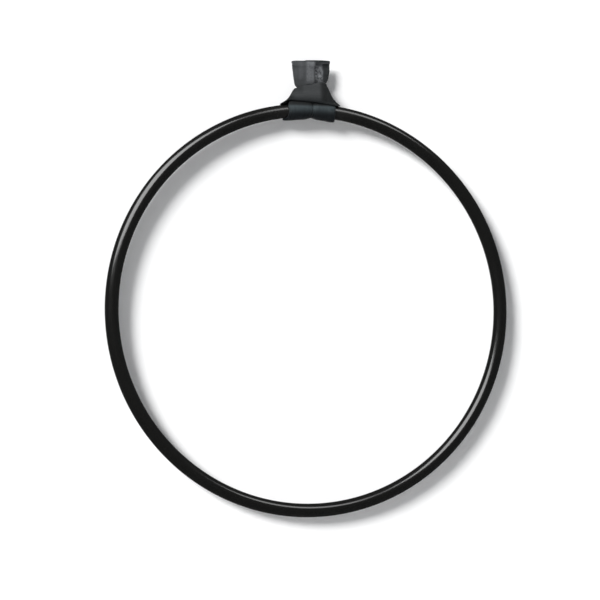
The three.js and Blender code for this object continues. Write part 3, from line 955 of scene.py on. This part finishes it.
@dataclass
class Sling:
    """The round sling, girth hitched round the tube: two wraps, the skirt over them and two legs.

    The sleeve is one flat tube of cloth laid along rows of stations, from eye to hitch and back. The yarn
    inside is laid along the same stations, a little smaller, because it follows the sleeve's folds and
    thin edges. Lengths are in millimetres and heights are from the tube's centre.

    Attributes:
        sleeve: the cloth's finish.
        yarn: the hank's finish.
        front: the sizes of the left strand, whose leg is the front one.
        rear: the sizes of the right strand.
        thickness: of the flat band, with the yarn in it.
        sliding_gap: between the wraps and the tube.
        leg_gap: between the two legs.
        overlap: how far the legs' edges pass each other in the middle.
        wrap_split: from the middle to the wraps' inner edges.
        skirt_top: height of the middle of the skirt's top edge.
        slant: how far the skirt's hem falls to the right, on each side.
        neck: half the legs' width in the hitch.
        rise: the top of the eye.
        eye_bore: height of the opening in the eye.
        eye_foot: where the legs begin to part for the eye.
        crown_half: half the eye's width at its top.
        crown_foot_half: half its width beside the middle of its bore.
        crown_tilt: how steeply its top climbs to the right.
        crown_puff: how far the cloth over the pin's place stands up.
        crown_rows: how many of the legs' rows the eye's piece has at each end.
        eye_seam: where the eye's piece ends and the legs' begin.
        hitch_seam: where the legs' pieces end and the hitch's begins.
        hitch_hold: where the cloth is all the hitch's; not used.
        flare_foot: where the eye begins to hold the legs' outer faces out.
        bend_start: from the middle to where the skirt's right side begins to bend back.
        bend_end: from the middle to where it bends no further.
        bend_rate: how far back it bends, for the square of the way past the start.
        fold_rise: how far the front leg's folded edge stands proud.
        patch_rise: how far the rear leg's crinkled patch does.
        patch_wear: how pale that patch is between its scuffs.
        yarn_inset: from the sleeve's face to the yarn.
        around: points round the sleeve.
        steps: rings from one station to the next.
    """

    sleeve: WovenSleeve = field(default_factory=WovenSleeve)
    yarn: YarnHank = field(default_factory=YarnHank)
    front: Strand = FRONT
    rear: Strand = REAR
    thickness: float = 5.2
    sliding_gap: float = 0.6
    leg_gap: float = 1.0
    overlap: float = 15.0
    wrap_split: float = 0.1
    skirt_top: float = 53.0
    slant: float = 4.5
    neck: float = 25.0
    rise: float = 102.0
    eye_bore: float = 11.0
    eye_foot: float = 84.0
    crown_half: float = 41.0
    crown_foot_half: float = 41.8
    crown_tilt: float = 0.034
    crown_puff: float = 1.6
    crown_rows: int = 4
    eye_seam: float = 74.0
    hitch_seam: float = 60.0
    hitch_hold: float = 40.0
    flare_foot: float = 58.0
    bend_start: float = 12.0
    bend_end: float = 32.0
    bend_rate: float = 0.01
    fold_rise: float = 0.8
    patch_rise: float = 0.4
    patch_wear: float = 0.56
    yarn_inset: float = 1.2
    around: int = 96
    steps: int = 8

    @property
    def half(self) -> float:
        """Half the band's thickness."""
        return self.thickness / 2

    @property
    def wrap_radius(self) -> float:
        """From the tube's centre to the middle of a wrap."""
        return TUBE_RADIUS + self.sliding_gap + self.half

    @property
    def leg_y(self) -> float:
        """From the middle plane to the middle of a leg."""
        return self.half + self.leg_gap / 2

    @property
    def eye_height(self) -> float:
        """The height of the middle of the eye's bore."""
        return self.rise - self.thickness - self.eye_bore / 2

    @property
    def eye_radius(self) -> float:
        """From the middle of the eye's bore to the middle of the band over it."""
        return self.eye_bore / 2 + self.half

    def leg(self, strand: Strand, height: float, outer: float, inner: float, y: float) -> Station:
        """A leg's station at a height.

        Args:
            strand: the side of the sling that the leg is on.
            height: the station's height.
            outer: how far out to its own side the outer edge lies.
            inner: the same for the inner edge, below 0 where it lies past the middle.
            y: the distance behind the middle plane.

        Returns:
            The station, with its outer face held out by the eye above it.
        """
        s = strand.side.value
        share = max(0.0, (height - self.flare_foot) / (self.eye_height - self.flare_foot))
        flare = max(0.0, blend_value(self.leg_y, self.eye_radius, share) - abs(y))
        section = replace(LEG, puff=flare) if strand is self.front else replace(LEG, back_puff=flare)
        outside, inside = Vector((s * outer, y, height)), Vector((s * inner, y, height))
        return Station(outside, inside, Vector((0, -1, 0)), section)

    def straight_leg(self, strand: Strand) -> list[Station]:
        """The leg from below the eye down to the neck behind the skirt, as the photograph shows it."""
        past, y = -self.overlap / 2, strand.side.value * self.leg_y
        # the edges pass each other by a quarter less where the skirt grips the legs
        return [
            self.leg(strand, z, outer, past * blend_value(0.75, 1.0, smooth(48, 58, z)), y)
            for z, outer in strand.leg_edge
        ]

    def wrap(self, strand: Strand) -> list[Station]:
        """One strand in the hitch: down behind the skirt, over the tube's front, round it and up its back.

        Args:
            strand: which of the two.

        Returns:
            Its stations, from the neck to the tube's back.
        """
        s = strand.side.value
        y_unit, past = s * self.leg_y, -self.overlap / 2
        stations = [
            self.leg(strand, high * self.skirt_top, wide * self.neck, inner * past, off * y_unit)
            for high, off, wide, inner in strand.neck
        ]
        for step, share in enumerate(strand.wrap_edge):
            turn = math.radians(30 * step)
            out = Vector((0, -math.cos(turn), -math.sin(turn)))
            middle = out * self.wrap_radius
            under = max(0.0, math.sin(turn))
            # the two wraps meet square in front and part in a soft valley under the tube
            inner_edge = blend_value(0.25, 1.75, under**2.5)
            section = replace(WRAP, hang=strand.wrap_hang * under, inner_edge=inner_edge)
            outer = middle + Vector((s * (self.wrap_split + share * strand.wrap_width), 0, 0))
            stations.append(Station(outer, middle + Vector((s * self.wrap_split, 0, 0)), out, section))
        return stations

    def skirt(self, strand: Strand) -> list[Station]:
        """One half of the skirt, from the tube's back over its top and round the legs to the middle.

        Args:
            strand: the side that it is on.

        Returns:
            Its stations.
        """
        s = strand.side.value
        # each row: where the hem and the top edge are, as shares of the skirt's reach, of the wraps'
        # radius and of a height (the radius for the hem, the skirt's top for the other), the way that the
        # cloth faces, and the shares of the slants and of the bow
        rows = (
            ((0.95, 0.71, 0.71), (0.3, 0.86, 0.3), (0, 0.7, 0.7), 0, 0),
            ((1.0, 0.32, 0.96), (0.68, 0.62, 0.53), (0.25, 0.72, 0.65), 0, 0.4),
            ((1.04, -0.12, 1.0), (0.94, 0.34, 0.74), (0.62, 0.3, 0.72), 0, 0.9),
            ((1.0, -0.62, 1.0), (1.0, 0, 0.87), (0.8, -0.15, 0.58), 0.2, 1.0),
            ((0.85, -1.08, 0.98), (0.93, -0.52, 0.95), (0.6, -0.65, 0.45), 1, 0.75),
            ((0.6, -1.24, 0.92), (0.68, -0.56, 0.99), (0.3, -0.86, 0.4), 0.8, 0.2),
            ((0.3, -1.29, 0.88), (0.34, -0.57, 1), (0.1, -0.92, 0.38), 0.4, 0),
            ((0, -1.3, 0.87), (0, -0.57, 1), (0, -0.93, 0.36), 0, 0),
        )
        radius, stations = self.wrap_radius, []
        for hem, top, facing, sloped, bowed in rows:
            hem_slant, top_slant = s * sloped * self.slant, s * sloped * strand.slope
            low = Vector((s * hem[0] * strand.span, hem[1] * radius, hem[2] * radius - hem_slant))
            high = Vector((s * top[0] * strand.waist, top[1] * radius, top[2] * self.skirt_top + top_slant))
            section = replace(SKIRT, bow=bowed * strand.drawn_in)
            stations.append(Station(low, high, Vector((s * facing[0], facing[1], facing[2])), section))
        return stations

    def crown(self) -> list[Station]:
        """The eye, from the foot of its piece on the front leg over the pin's place to the rear leg's.

        Returns:
            Its stations.
        """
        past = self.overlap / 2
        front_foot, rear_foot = (self.straight_leg(s)[: self.crown_rows] for s in (self.front, self.rear))
        middle = (self.eye_foot + self.eye_height) / 2
        bend = (self.leg_y + self.eye_radius) / 2
        front = [*front_foot[::-1], self.leg(self.front, middle, self.front.eye_edge, -past, -bend)]
        rear = [self.leg(self.rear, middle, self.rear.eye_edge, -past, bend), *rear_foot]
        over = []
        for degrees in range(0, 181, 15):
            turn = math.radians(degrees)
            y, z = -self.eye_radius * math.cos(turn), self.eye_height + self.eye_radius * math.sin(turn)
            reach = blend_value(self.crown_foot_half, self.crown_half, math.sin(turn))
            # the edge that ends short on its own leg widens to the full width at the very top
            free = blend_value(past, reach, max(0.0, math.sin(turn)) ** 9)
            left = -reach if degrees <= 90 else -free
            right = free if degrees <= 90 else reach
            out = Vector((0, -math.cos(turn), math.sin(turn)))
            lift = self.crown_tilt * math.sin(turn)
            low, high = Vector((left, y, z + left * lift)), Vector((right, y, z + right * lift))
            over.append(Station(low, high, out, replace(CROWN, puff=self.crown_puff * math.sin(turn) ** 2)))
        turned = [Station(s.inner, s.outer, -s.facing, s.section.turned()) for s in rear]
        return [*front, *over, *turned]

    def hitch_route(self) -> list[Station]:
        """The whole hitch, one unbroken band from the front leg to the rear leg."""
        first, second = (
            [*self.straight_leg(s), *self.wrap(s), *self.skirt(s)] for s in (self.front, self.rear)
        )
        return [*first, *second[-2::-1]]

    def sag(self, point: Vector) -> float:
        """How far the curved tube drops beside the hitch, faded out up the legs.

        Args:
            point: a point in millimetres from the hitch.

        Returns:
            Millimetres down.
        """
        fade = 1 - smooth(self.wrap_radius + self.thickness, self.skirt_top - self.thickness, point.z)
        reach = min(abs(point.x), HOOP_RADIUS)
        return (HOOP_RADIUS - math.sqrt(HOOP_RADIUS**2 - reach**2)) * fade

    def rings(self, route: list[Station], inset: float = 0.0) -> list[Ring]:
        """Rings of points round the sleeve, several for each station of a route.

        Args:
            route: the stations in order.
            inset: how far inside the sleeve's face the rings lie, in millimetres.

        Returns:
            The rings.
        """
        outers, inners = [s.outer for s in route], [s.inner for s in route]
        facings = [s.facing for s in route]
        made = []
        for index in range(len(route) - 1):
            last = index == len(route) - 2
            for step in range(self.steps + last):
                share = step / self.steps
                outer, inner = (curve_point(p, index, share) for p in (outers, inners))
                facing = curve_point(facings, index, share)
                section = route[index].section.toward(route[index + 1].section, share)
                made.append(self.ring(outer, inner, facing, section, inset))
        return made

    def ring(self, outer: Vector, inner: Vector, facing: Vector, section: Section, inset: float) -> Ring:
        """One ring round the sleeve between its two edges.

        Args:
            outer: the band's outer edge.
            inner: its inner edge.
            facing: the way that its front faces.
            section: the shape of its cross-section.
            inset: how far inside the sleeve's face the ring lies, in millimetres.

        Returns:
            The ring, with its points in millimetres from the hitch.
        """
        middle, across = (outer + inner) / 2, inner - outer
        half_width = across.length / 2
        across.normalize()
        facing = (facing - across * facing.dot(across)).normalized()
        ring = Ring()
        for step in range(self.around):
            turn = 2 * math.pi * (step + 0.5) / self.around
            c, s = math.cos(turn), math.sin(turn)
            # the points stand a little closer at the edges, where the cloth turns over
            along = math.copysign(abs(c) ** 0.85, c)
            full = abs(s) ** (section.inner_edge if c > 0 else section.outer_edge)
            roll = 1 - section.rolls * (0.5 + 0.5 * math.cos(2 * math.pi * along))
            if s > 0:
                high = self.half * blend_value(full, 2 * full - 1, section.backing) * roll
                high += full * (section.puff + section.hang * smooth(0.2, -0.9, along))
                high = max(high - inset, 0.1 - self.half + inset)
            else:
                high = (inset - self.half) * blend_value(full, 1, section.backing) - full * section.back_puff
            # the yarn keeps well inside a wrap's thin inner edge
            reach = half_width - inset * (1 + (2.5 * section.backing if c > 0 else 0))
            # the bow is deepest nearer the outer edge
            bow = section.bow * (1 - along**2) * (1 - 0.45 * along)
            point = middle + across * (reach * along) + facing * (high - bow)
            forward = (s > 0) == (facing.y < 0)
            point = point + facing * self.crumple(point, section, forward, facing.y < 0)
            point.z -= self.sag(point)
            ring.points.append(point)
            ring.wear_and_painted_light.append(self.wear_and_painted_light(point, along, forward, section))
            ring.hem.append(half_width * (1 + along) * MM)
        return ring

    def crumple(self, point: Vector, section: Section, forward: bool, facing_front: bool) -> float:
        """How far the cloth stands out of its smooth shape at a point.

        Args:
            point: the point, in millimetres from the hitch.
            section: the sleeve's section there.
            forward: whether the point is on the face towards the front of the hoop.
            facing_front: whether the sleeve's front face is that face.

        Returns:
            Millimetres out of the sleeve's front face.
        """
        x, y, z = point
        out = UNEVEN.at(x, z, y) * (1 - section.backing) - self.turned_away(x, y, z)
        if y < 0 and forward:
            out += VALLEY_CREASES.at(x, z) * section.wrapped * VALLEY.share(x, z)
        if z > self.skirt_top and y < 0 and forward:
            # the front leg's right edge is folded over and stands a little proud
            out += self.fold_rise * FOLD.share(x, z)
        if z > self.skirt_top and y > 0 and forward:
            # the rear leg's loose cloth beside the front leg's edge
            loose = PATCH_RIPPLES.at(x, z) + self.patch_rise
            out += loose * PATCH.share(x, z) * (1 if facing_front else -1)
        return out

    def turned_away(self, x: float, y: float, z: float) -> float:
        """How far the skirt's right side is bent back from its front, in millimetres."""
        past = max(0.0, min(x, self.bend_end) - self.bend_start)
        in_front = smooth(-4, -12, y)
        return self.bend_rate * past**2 * BENT_SIDE.share(x, z) * in_front

    def wear_and_painted_light(self, point: Vector, along: float, forward: bool, section: Section) -> float:
        """How much paler or darker the cloth is painted at a point, from rubbing or painted light and shade.

        Args:
            point: the point, in millimetres from the hitch.
            along: its place across the band, from -1 at the outer edge to 1.
            forward: whether it is on the face towards the front of the hoop.
            section: the sleeve's section there.

        Returns:
            1 where the cloth is palest, 0 where it keeps its own colour, -1 where it is darkest.
        """
        x, y, z = point
        skirt = max(0.0, 1 - 4 * abs(section.backing - SKIRT.backing)) * (1 - section.wrapped)
        marks = [(RUBBED_EDGE, smooth(0.88, 0.99, abs(along))), (EYE_TOP, 1.0)]
        if y < 0 and z < self.hitch_seam:
            in_front = smooth(0, -6, y)
            marks += [(TURNED_SIDE_SHADE, in_front), (SKIRT_TIPS_SHADE, skirt), (SKIRT_LEFT, skirt * in_front)]
        if y < 0 and forward:
            marks += [(HEM_SHADOW, 1 - skirt), (STRIPE_HIGHLIGHT, 1.0), (FAINT_STRIPE, 1.0)]
        if y > 0 and forward:
            scuffed = max(0.0, self.patch_wear + PATCH_SCUFFS.at(x, z))
            marks += [(PATCH, scuffed), (BESIDE_PATCH_SHADE, 1.0), (BELOW_PATCH, 1.0), (EYE_INSIDE_LIGHT, 1.0)]
        # each mark is rubbing, painted light or painted shade, as the zones say
        summed_marks = sum(zone.wear_and_painted_light * strength * zone.share(x, z) for zone, strength in marks)
        return max(-1.0, min(1.0, summed_marks))

    def skin(self, name: str, rings: list[Ring]) -> bpy.types.Object:
        """Lays a flat strip along rings of points and closes it to a sleeve with capped ends.

        Args:
            name: the piece's name.
            rings: rings of points in millimetres from the hitch.

        Returns:
            The finished piece.
        """
        columns, rows = self.around, len(rings) - 1
        deselect()
        bpy.ops.mesh.primitive_grid_add(
            x_subdivisions=columns, y_subdivisions=rows, size=1, location=(0, 0, 0)
        )
        piece = bpy.context.object
        piece.name = name
        mesh = piece.data
        first = rings[0].points
        girth = sum((first[i] - first[i - 1]).length for i in range(columns)) * MM
        lengths = [0.0]
        for before, after in zip(rings, rings[1:]):
            gap = sum((a - b).length for a, b in zip(after.points, before.points)) / columns
            lengths.append(lengths[-1] + gap * MM)
        grid = [(round((v.co.x + 0.5) * columns), round((v.co.y + 0.5) * rows)) for v in mesh.vertices]
        while mesh.uv_layers:
            mesh.uv_layers.remove(mesh.uv_layers[0])
        uv = mesh.uv_layers.new(name="sleeve")
        for loop in mesh.loops:
            column, row = grid[loop.vertex_index]
            uv.data[loop.index].uv = (column / columns * girth, lengths[row])
        wear_and_painted_light = mesh.attributes.new("wear_and_painted_light", "FLOAT", "POINT")
        hem = mesh.attributes.new("hem", "FLOAT", "POINT")
        for vertex, (column, row) in zip(mesh.vertices, grid):
            ring, place_in_ring = rings[row], column % columns
            vertex.co = place(ring.points[place_in_ring])
            wear_and_painted_light.data[vertex.index].value = ring.wear_and_painted_light[place_in_ring]
            hem.data[vertex.index].value = ring.hem[place_in_ring]
        # the strip's long edges meet and are joined, and each end gets a cap
        bpy.ops.object.mode_set(mode="EDIT")
        bpy.ops.mesh.select_all(action="SELECT")
        bpy.ops.mesh.remove_doubles(threshold=0.004 * MM)
        bpy.ops.mesh.select_all(action="DESELECT")
        bpy.ops.mesh.select_mode(type="EDGE")
        bpy.ops.mesh.select_non_manifold(extend=False)
        bpy.ops.mesh.edge_face_add()
        bpy.ops.mesh.select_all(action="SELECT")
        bpy.ops.mesh.normals_make_consistent(inside=False)
        bpy.ops.mesh.select_mode(type="VERT")
        bpy.ops.object.mode_set(mode="OBJECT")
        bpy.ops.object.shade_smooth()
        for polygon in mesh.polygons:
            polygon.use_smooth = len(polygon.vertices) < 5
        return piece

    def build(self) -> list[bpy.types.Object]:
        """Builds four stretches of sleeve and the yarn inside each.

        Returns:
            The eight pieces.
        """
        heights = [row[0] for row in self.front.leg_edge]
        eye_row, hitch_row = heights.index(self.eye_seam), heights.index(self.hitch_seam)
        near, far = eye_row * self.steps, hitch_row * self.steps
        below = (self.crown_rows - 1 - eye_row) * self.steps
        made = []
        for inset, finish, slot, part in (
            (0.0, self.sleeve.material(), "sling_sleeve", "sleeve"),
            (self.yarn_inset, self.yarn.material(), "sling_core", "core"),
        ):
            over, rings = self.rings(self.crown(), inset), self.rings(self.hitch_route(), inset)
            last = len(rings) - 1
            eye = self.skin(f"sling_eye_{part}", over[below : len(over) - below])
            front = self.skin(f"sling_leg_front_{part}", rings[near : far + 1])
            rear = self.skin(f"sling_leg_rear_{part}", rings[last - far : last - near + 1])
            hitch = self.skin(f"sling_hitch_{part}", rings[far : last - far + 1])
            for piece in (eye, front, rear, hitch):
                dress(piece, finish)
                made.append(piece)
            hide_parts(f"eye_{part}")
            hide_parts(f"upper_leg_front_{part}", f"lower_leg_front_{part}")
            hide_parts(f"upper_leg_rear_{part}", f"lower_leg_rear_{part}")
            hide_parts(f"hitch_{part}")
            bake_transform(eye)
            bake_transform(front)
            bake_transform(rear)
            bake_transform(hitch)
        return made

    @staticmethod
    def up(height: float) -> Vector:
        """The point on the middle line at a height above the tube's centre."""
        return place(Vector((0, 0, height)))


# Studio


def direction(azimuth: float, elevation: float) -> Vector:
    """The way out from the hoop's middle to a lamp or the camera.

    Args:
        azimuth: degrees from straight in front, to the left as the camera sees it.
        elevation: degrees above the horizon.

    Returns:
        A vector of length 1.
    """
    a, e = math.radians(azimuth), math.radians(elevation)
    return Vector((-math.sin(a) * math.cos(e), -math.cos(a) * math.cos(e), math.sin(e)))


def stand(name: str, data: bpy.types.Light | bpy.types.Camera) -> bpy.types.Object:
    """Puts a new lamp or camera into the scene.

    Args:
        name: its name.
        data: the lamp or camera itself.

    Returns:
        Its object.
    """
    made = bpy.data.objects.new(name, data)
    bpy.context.scene.collection.objects.link(made)
    return made


def aim(lamp: bpy.types.Object, away: Vector) -> None:
    """Turns a lamp that stands the given way out from the hoop's middle towards it."""
    lamp.rotation_mode = "QUATERNION"
    lamp.rotation_quaternion = away.to_track_quat("Z", "Y")


@dataclass(frozen=True)
class Softbox:
    """A rectangular lamp, aimed at the hoop's middle.

    Attributes:
        name: the lamp's name.
        azimuth: degrees from straight in front, to the left as the camera sees it.
        elevation: degrees above the horizon.
        distance: metres from the hoop's middle.
        width: metres.
        height: metres.
        radiance: how bright its face is.
        mirrored: whether glossy surfaces show it.
    """

    name: str
    azimuth: float
    elevation: float
    distance: float
    width: float
    height: float
    radiance: float
    mirrored: bool = True

    def build(self) -> bpy.types.Object:
        """Makes the lamp.

        Returns:
            Its object.
        """
        away = direction(self.azimuth, self.elevation)
        data = bpy.data.lights.new(self.name, "AREA")
        data.shape = "RECTANGLE"
        data.size, data.size_y = self.width, self.height
        data.energy = self.radiance * math.pi * self.width * self.height
        lamp = stand(self.name, data)
        lamp.location = HOOP_CENTRE + away * self.distance
        aim(lamp, away)
        lamp.visible_glossy = self.mirrored
        return lamp


@dataclass
class Studio:
    """The camera, the lamps, the pale surroundings and the backdrop that takes the shadow.

    Attributes:
        yaw: the camera's azimuth in degrees.
        pitch: its elevation in degrees.
        roll: its turn about its own line of sight, in degrees.
        distance: from the camera to the hoop's middle, in metres.
        focal_pixels: its focal length, in pixels of the photograph.
        centre_x: where the hoop's middle is in the photograph, in pixels from the left.
        centre_y: the same from the top.
        frame_pixels: the photograph's width and height.
        white: full white.
        pale: the backdrop's and the floor's colour.
        room: the dim room's colour, faintly blue.
        room_strength: how much light the room gives.
        room_mirrored: how bright the room looks in a glossy surface.
        wall_gap: from the hoop's middle plane to the wall, in millimetres.
        wall_size: the wall's width and height, in metres.
        wall_square: the least cosine of the wall's turn at which it shows.
        floor_height: the floor's height in metres.
        floor_size: its width, in metres.
        lamps: the softboxes, which light all but the wall.
        sun_azimuth: degrees to the left of the lamp that lights the wall alone.
        sun_elevation: its degrees above the horizon.
        sun_spread: how wide it looks from the wall, in degrees.
        sun_strength: its power.
        wall_glow: light that the wall has of itself, in place of the light from the room.
    """

    yaw: float = 14.13
    pitch: float = -1.81
    roll: float = -0.21
    distance: float = 8.0 * HOOP_RADIUS * MM
    focal_pixels: float = 1600.0
    centre_x: float = 311.7
    centre_y: float = 309.7
    frame_pixels: float = 600.0
    white: tuple[float, float, float, float] = (1.0, 1.0, 1.0, 1.0)
    pale: tuple[float, float, float, float] = (0.9, 0.9, 0.9, 1.0)
    room: tuple[float, float, float, float] = (0.93, 0.96, 1.0, 1.0)
    room_strength: float = 0.16
    room_mirrored: float = 0.06
    wall_gap: float = 25.0
    wall_size: float = 9.0
    wall_square: float = 0.95
    floor_height: float = -1.95
    floor_size: float = 12.0
    lamps: tuple[Softbox, ...] = (
        Softbox("key_softbox", 40, 36, 3.5, 3.1, 2.6, 4.3),
        Softbox("fill_softbox", -27, 46, 3.5, 2.0, 1.3, 2.6),
        Softbox("back_softbox", 205, 35, 3.5, 2.6, 2.6, 3.0, mirrored=False),
    )
    sun_azimuth: float = 50.0
    sun_elevation: float = 28.0
    sun_spread: float = 22.0
    sun_strength: float = 4.85
    wall_glow: float = 0.085

    def camera(self) -> None:
        """The camera at the photograph's angle."""
        yaw, turn = math.radians(self.yaw), math.radians(self.roll)
        away = direction(self.yaw, self.pitch)
        right = Vector((math.cos(yaw), -math.sin(yaw), 0))
        up = away.cross(right)
        axes = (
            right * math.cos(turn) + up * math.sin(turn),
            up * math.cos(turn) - right * math.sin(turn),
            away,
        )
        data = bpy.data.cameras.new("photograph_camera")
        data.sensor_width = 36.0
        data.lens = self.focal_pixels / self.frame_pixels * data.sensor_width
        data.shift_x = (self.frame_pixels / 2 - self.centre_x) / self.frame_pixels
        data.shift_y = (self.centre_y - self.frame_pixels / 2) / self.frame_pixels
        data.clip_start, data.clip_end = 0.01, 100.0
        camera = stand("photograph_camera", data)
        place_of_lens = Matrix.Translation(HOOP_CENTRE + away * self.distance)
        camera.matrix_world = place_of_lens @ Matrix(axes).transposed().to_4x4()
        bpy.context.scene.camera = camera

    def surroundings(self) -> None:
        """White for the camera, and a dim room for the light and the reflections, white behind the hoop."""
        world = bpy.data.worlds.new("studio")
        bpy.context.scene.world = world
        world.use_nodes = True
        tree = world.node_tree
        tree.nodes.clear()
        ray = add(tree, "LightPath").outputs
        way = add(tree, "TexCoord").outputs["Generated"]
        behind = add(tree, "VectorMath", {0: way, 1: (0, 1, 0)}, operation="DOT_PRODUCT")
        span = {"From Min": 0.9, "From Max": 0.99, "To Min": self.room_mirrored, "To Max": 1.0}
        sweep = add(tree, "MapRange", {"Value": behind} | span, interpolation_type="SMOOTHSTEP")
        room = add(tree, "Background", {"Color": self.room, "Strength": self.room_strength})
        mirror = add(tree, "Background", {"Color": self.white, "Strength": sweep})
        backdrop = add(tree, "Background", {"Color": self.white, "Strength": 1.0})
        rays = {0: ray["Is Glossy Ray"], 1: ray["Is Transmission Ray"]}
        gloss = add(tree, "Math", rays, operation="MAXIMUM")
        lit = add(tree, "MixShader", {0: gloss, 1: room, 2: mirror})
        shown = add(tree, "MixShader", {0: ray["Is Camera Ray"], 1: lit, 2: backdrop})
        add(tree, "OutputWorld", {"Surface": shown})

    @staticmethod
    def sheet(name: str, size: float, at: tuple[float, float, float], turn: float) -> bpy.types.Object:
        """A flat square that casts no shadow and shows in no reflection.

        Args:
            name: its name.
            size: its width in metres.
            at: where its middle is, in metres.
            turn: how far it is turned up about X, in radians.

        Returns:
            The sheet, without a material.
        """
        deselect()
        bpy.ops.mesh.primitive_plane_add(size=size, location=at, rotation=(turn, 0, 0))
        made = settle(bpy.context.object, name)
        made.visible_glossy = False
        made.visible_shadow = False
        return made

    @staticmethod
    def clear_where(
        tree: bpy.types.NodeTree, hidden: bpy.types.Node | bpy.types.NodeSocket, paint: bpy.types.Node
    ) -> None:
        """Ends a material that is clear where hidden is 1 and has its paint elsewhere.

        Args:
            tree: the material's tree.
            hidden: the node, or the output socket, that says where it is clear.
            paint: the shader of the paint.
        """
        clear = add(tree, "BsdfTransparent")
        add(tree, "OutputMaterial", {"Surface": add(tree, "MixShader", {0: hidden, 1: paint, 2: clear})})

    def wall(self) -> bpy.types.Object:
        """The white wall that the hoop hangs against, seen only from the front and only by the camera.

        It is clear from behind, and where the hoop has swung or twisted away from it.

        Returns:
            The wall.
        """
        material, tree = blank_material("white_backdrop")
        surface = add(tree, "NewGeometry").outputs
        facing = {0: surface["True Normal"], 1: (0, 1, 0)}
        square = add(tree, "VectorMath", facing, operation="DOT_PRODUCT")
        square = add(tree, "Math", {0: square}, operation="ABSOLUTE")
        turned_away = add(tree, "Math", {0: square, 1: self.wall_square}, operation="LESS_THAN")
        hidden = add(tree, "Math", {0: surface["Backfacing"], 1: turned_away}, operation="MAXIMUM")
        paper = {
            "Base Color": self.pale,
            "Specular IOR Level": 0.0,
            "Roughness": 1.0,
            "Emission Color": self.white,
            "Emission Strength": self.wall_glow,
        }
        self.clear_where(tree, hidden, add(tree, "BsdfPrincipled", paper))
        material.cycles.emission_sampling = "NONE"
        behind = (0, self.wall_gap * MM, HOOP_CENTRE.z)
        wall = self.sheet("backdrop_wall", self.wall_size, behind, math.pi / 2)
        wall.data.materials.append(material)
        wall.visible_diffuse = False
        self.follow_hitch(wall)
        return wall

    @staticmethod
    def follow_hitch(stage: bpy.types.Object) -> None:
        """Keeps a stage object in its place beside the hoop when the sling swings, twists or leans.

        Args:
            stage: the wall or its lamp.
        """
        body = frame["bodies"]["hitch"]
        stage.parent = body
        stage.matrix_parent_inverse = body.matrix_world.inverted()

    def floor(self) -> bpy.types.Object:
        """The pale floor, a metre below the hoop, which keeps the object's shadow. It is clear from below.

        Returns:
            The floor.
        """
        material, tree = blank_material("pale_floor")
        below = add(tree, "NewGeometry").outputs["Backfacing"]
        self.clear_where(tree, below, add(tree, "BsdfDiffuse", {"Color": self.pale}))
        floor = self.sheet("studio_floor", self.floor_size, (0, 0, self.floor_height), 0)
        floor.data.materials.append(material)
        floor.is_shadow_catcher = True
        return floor

    def wall_light(self, wall: bpy.types.Object, softboxes: list[bpy.types.Object]) -> None:
        """A smaller lamp for the wall alone, so that its shadow has the photograph's edge.

        Args:
            wall: the wall.
            softboxes: the lamps that leave the wall out.
        """
        data = bpy.data.lights.new("wall_lamp", "SUN")
        data.angle = math.radians(self.sun_spread)
        data.energy = self.sun_strength
        lamp = stand("wall_lamp", data)
        aim(lamp, direction(self.sun_azimuth, self.sun_elevation))
        self.follow_hitch(lamp)
        only_wall = bpy.data.collections.new("lit_by_the_wall_lamp")
        only_wall.objects.link(wall)
        lamp.light_linking.receiver_collection = only_wall
        all_but_wall = bpy.data.collections.new("lit_by_the_softboxes")
        all_but_wall.objects.link(wall)
        all_but_wall.collection_objects[0].light_linking.link_state = "EXCLUDE"
        for softbox in softboxes:
            softbox.light_linking.receiver_collection = all_but_wall

    def build(self) -> list[bpy.types.Object]:
        """Sets up the whole studio.

        Returns:
            The floor and the wall.
        """
        self.camera()
        self.surroundings()
        softboxes = [lamp.build() for lamp in self.lamps]
        floor, wall = self.floor(), self.wall()
        self.wall_light(wall, softboxes)
        bpy.context.scene.view_settings.view_transform = "Standard"
        return [floor, wall]


def main() -> None:
    """Builds the studio, the hoop and the sling, in this order, and reports each piece."""
    logging.basicConfig(level=logging.INFO, format="%(name)s: %(message)s")
    for assembly in (Studio(), Hoop(), Sling()):
        for piece in assembly.build():
            LOG.info("%s: %d faces", piece.name, len(piece.data.polygons))


if __name__ == "__main__":
    main()
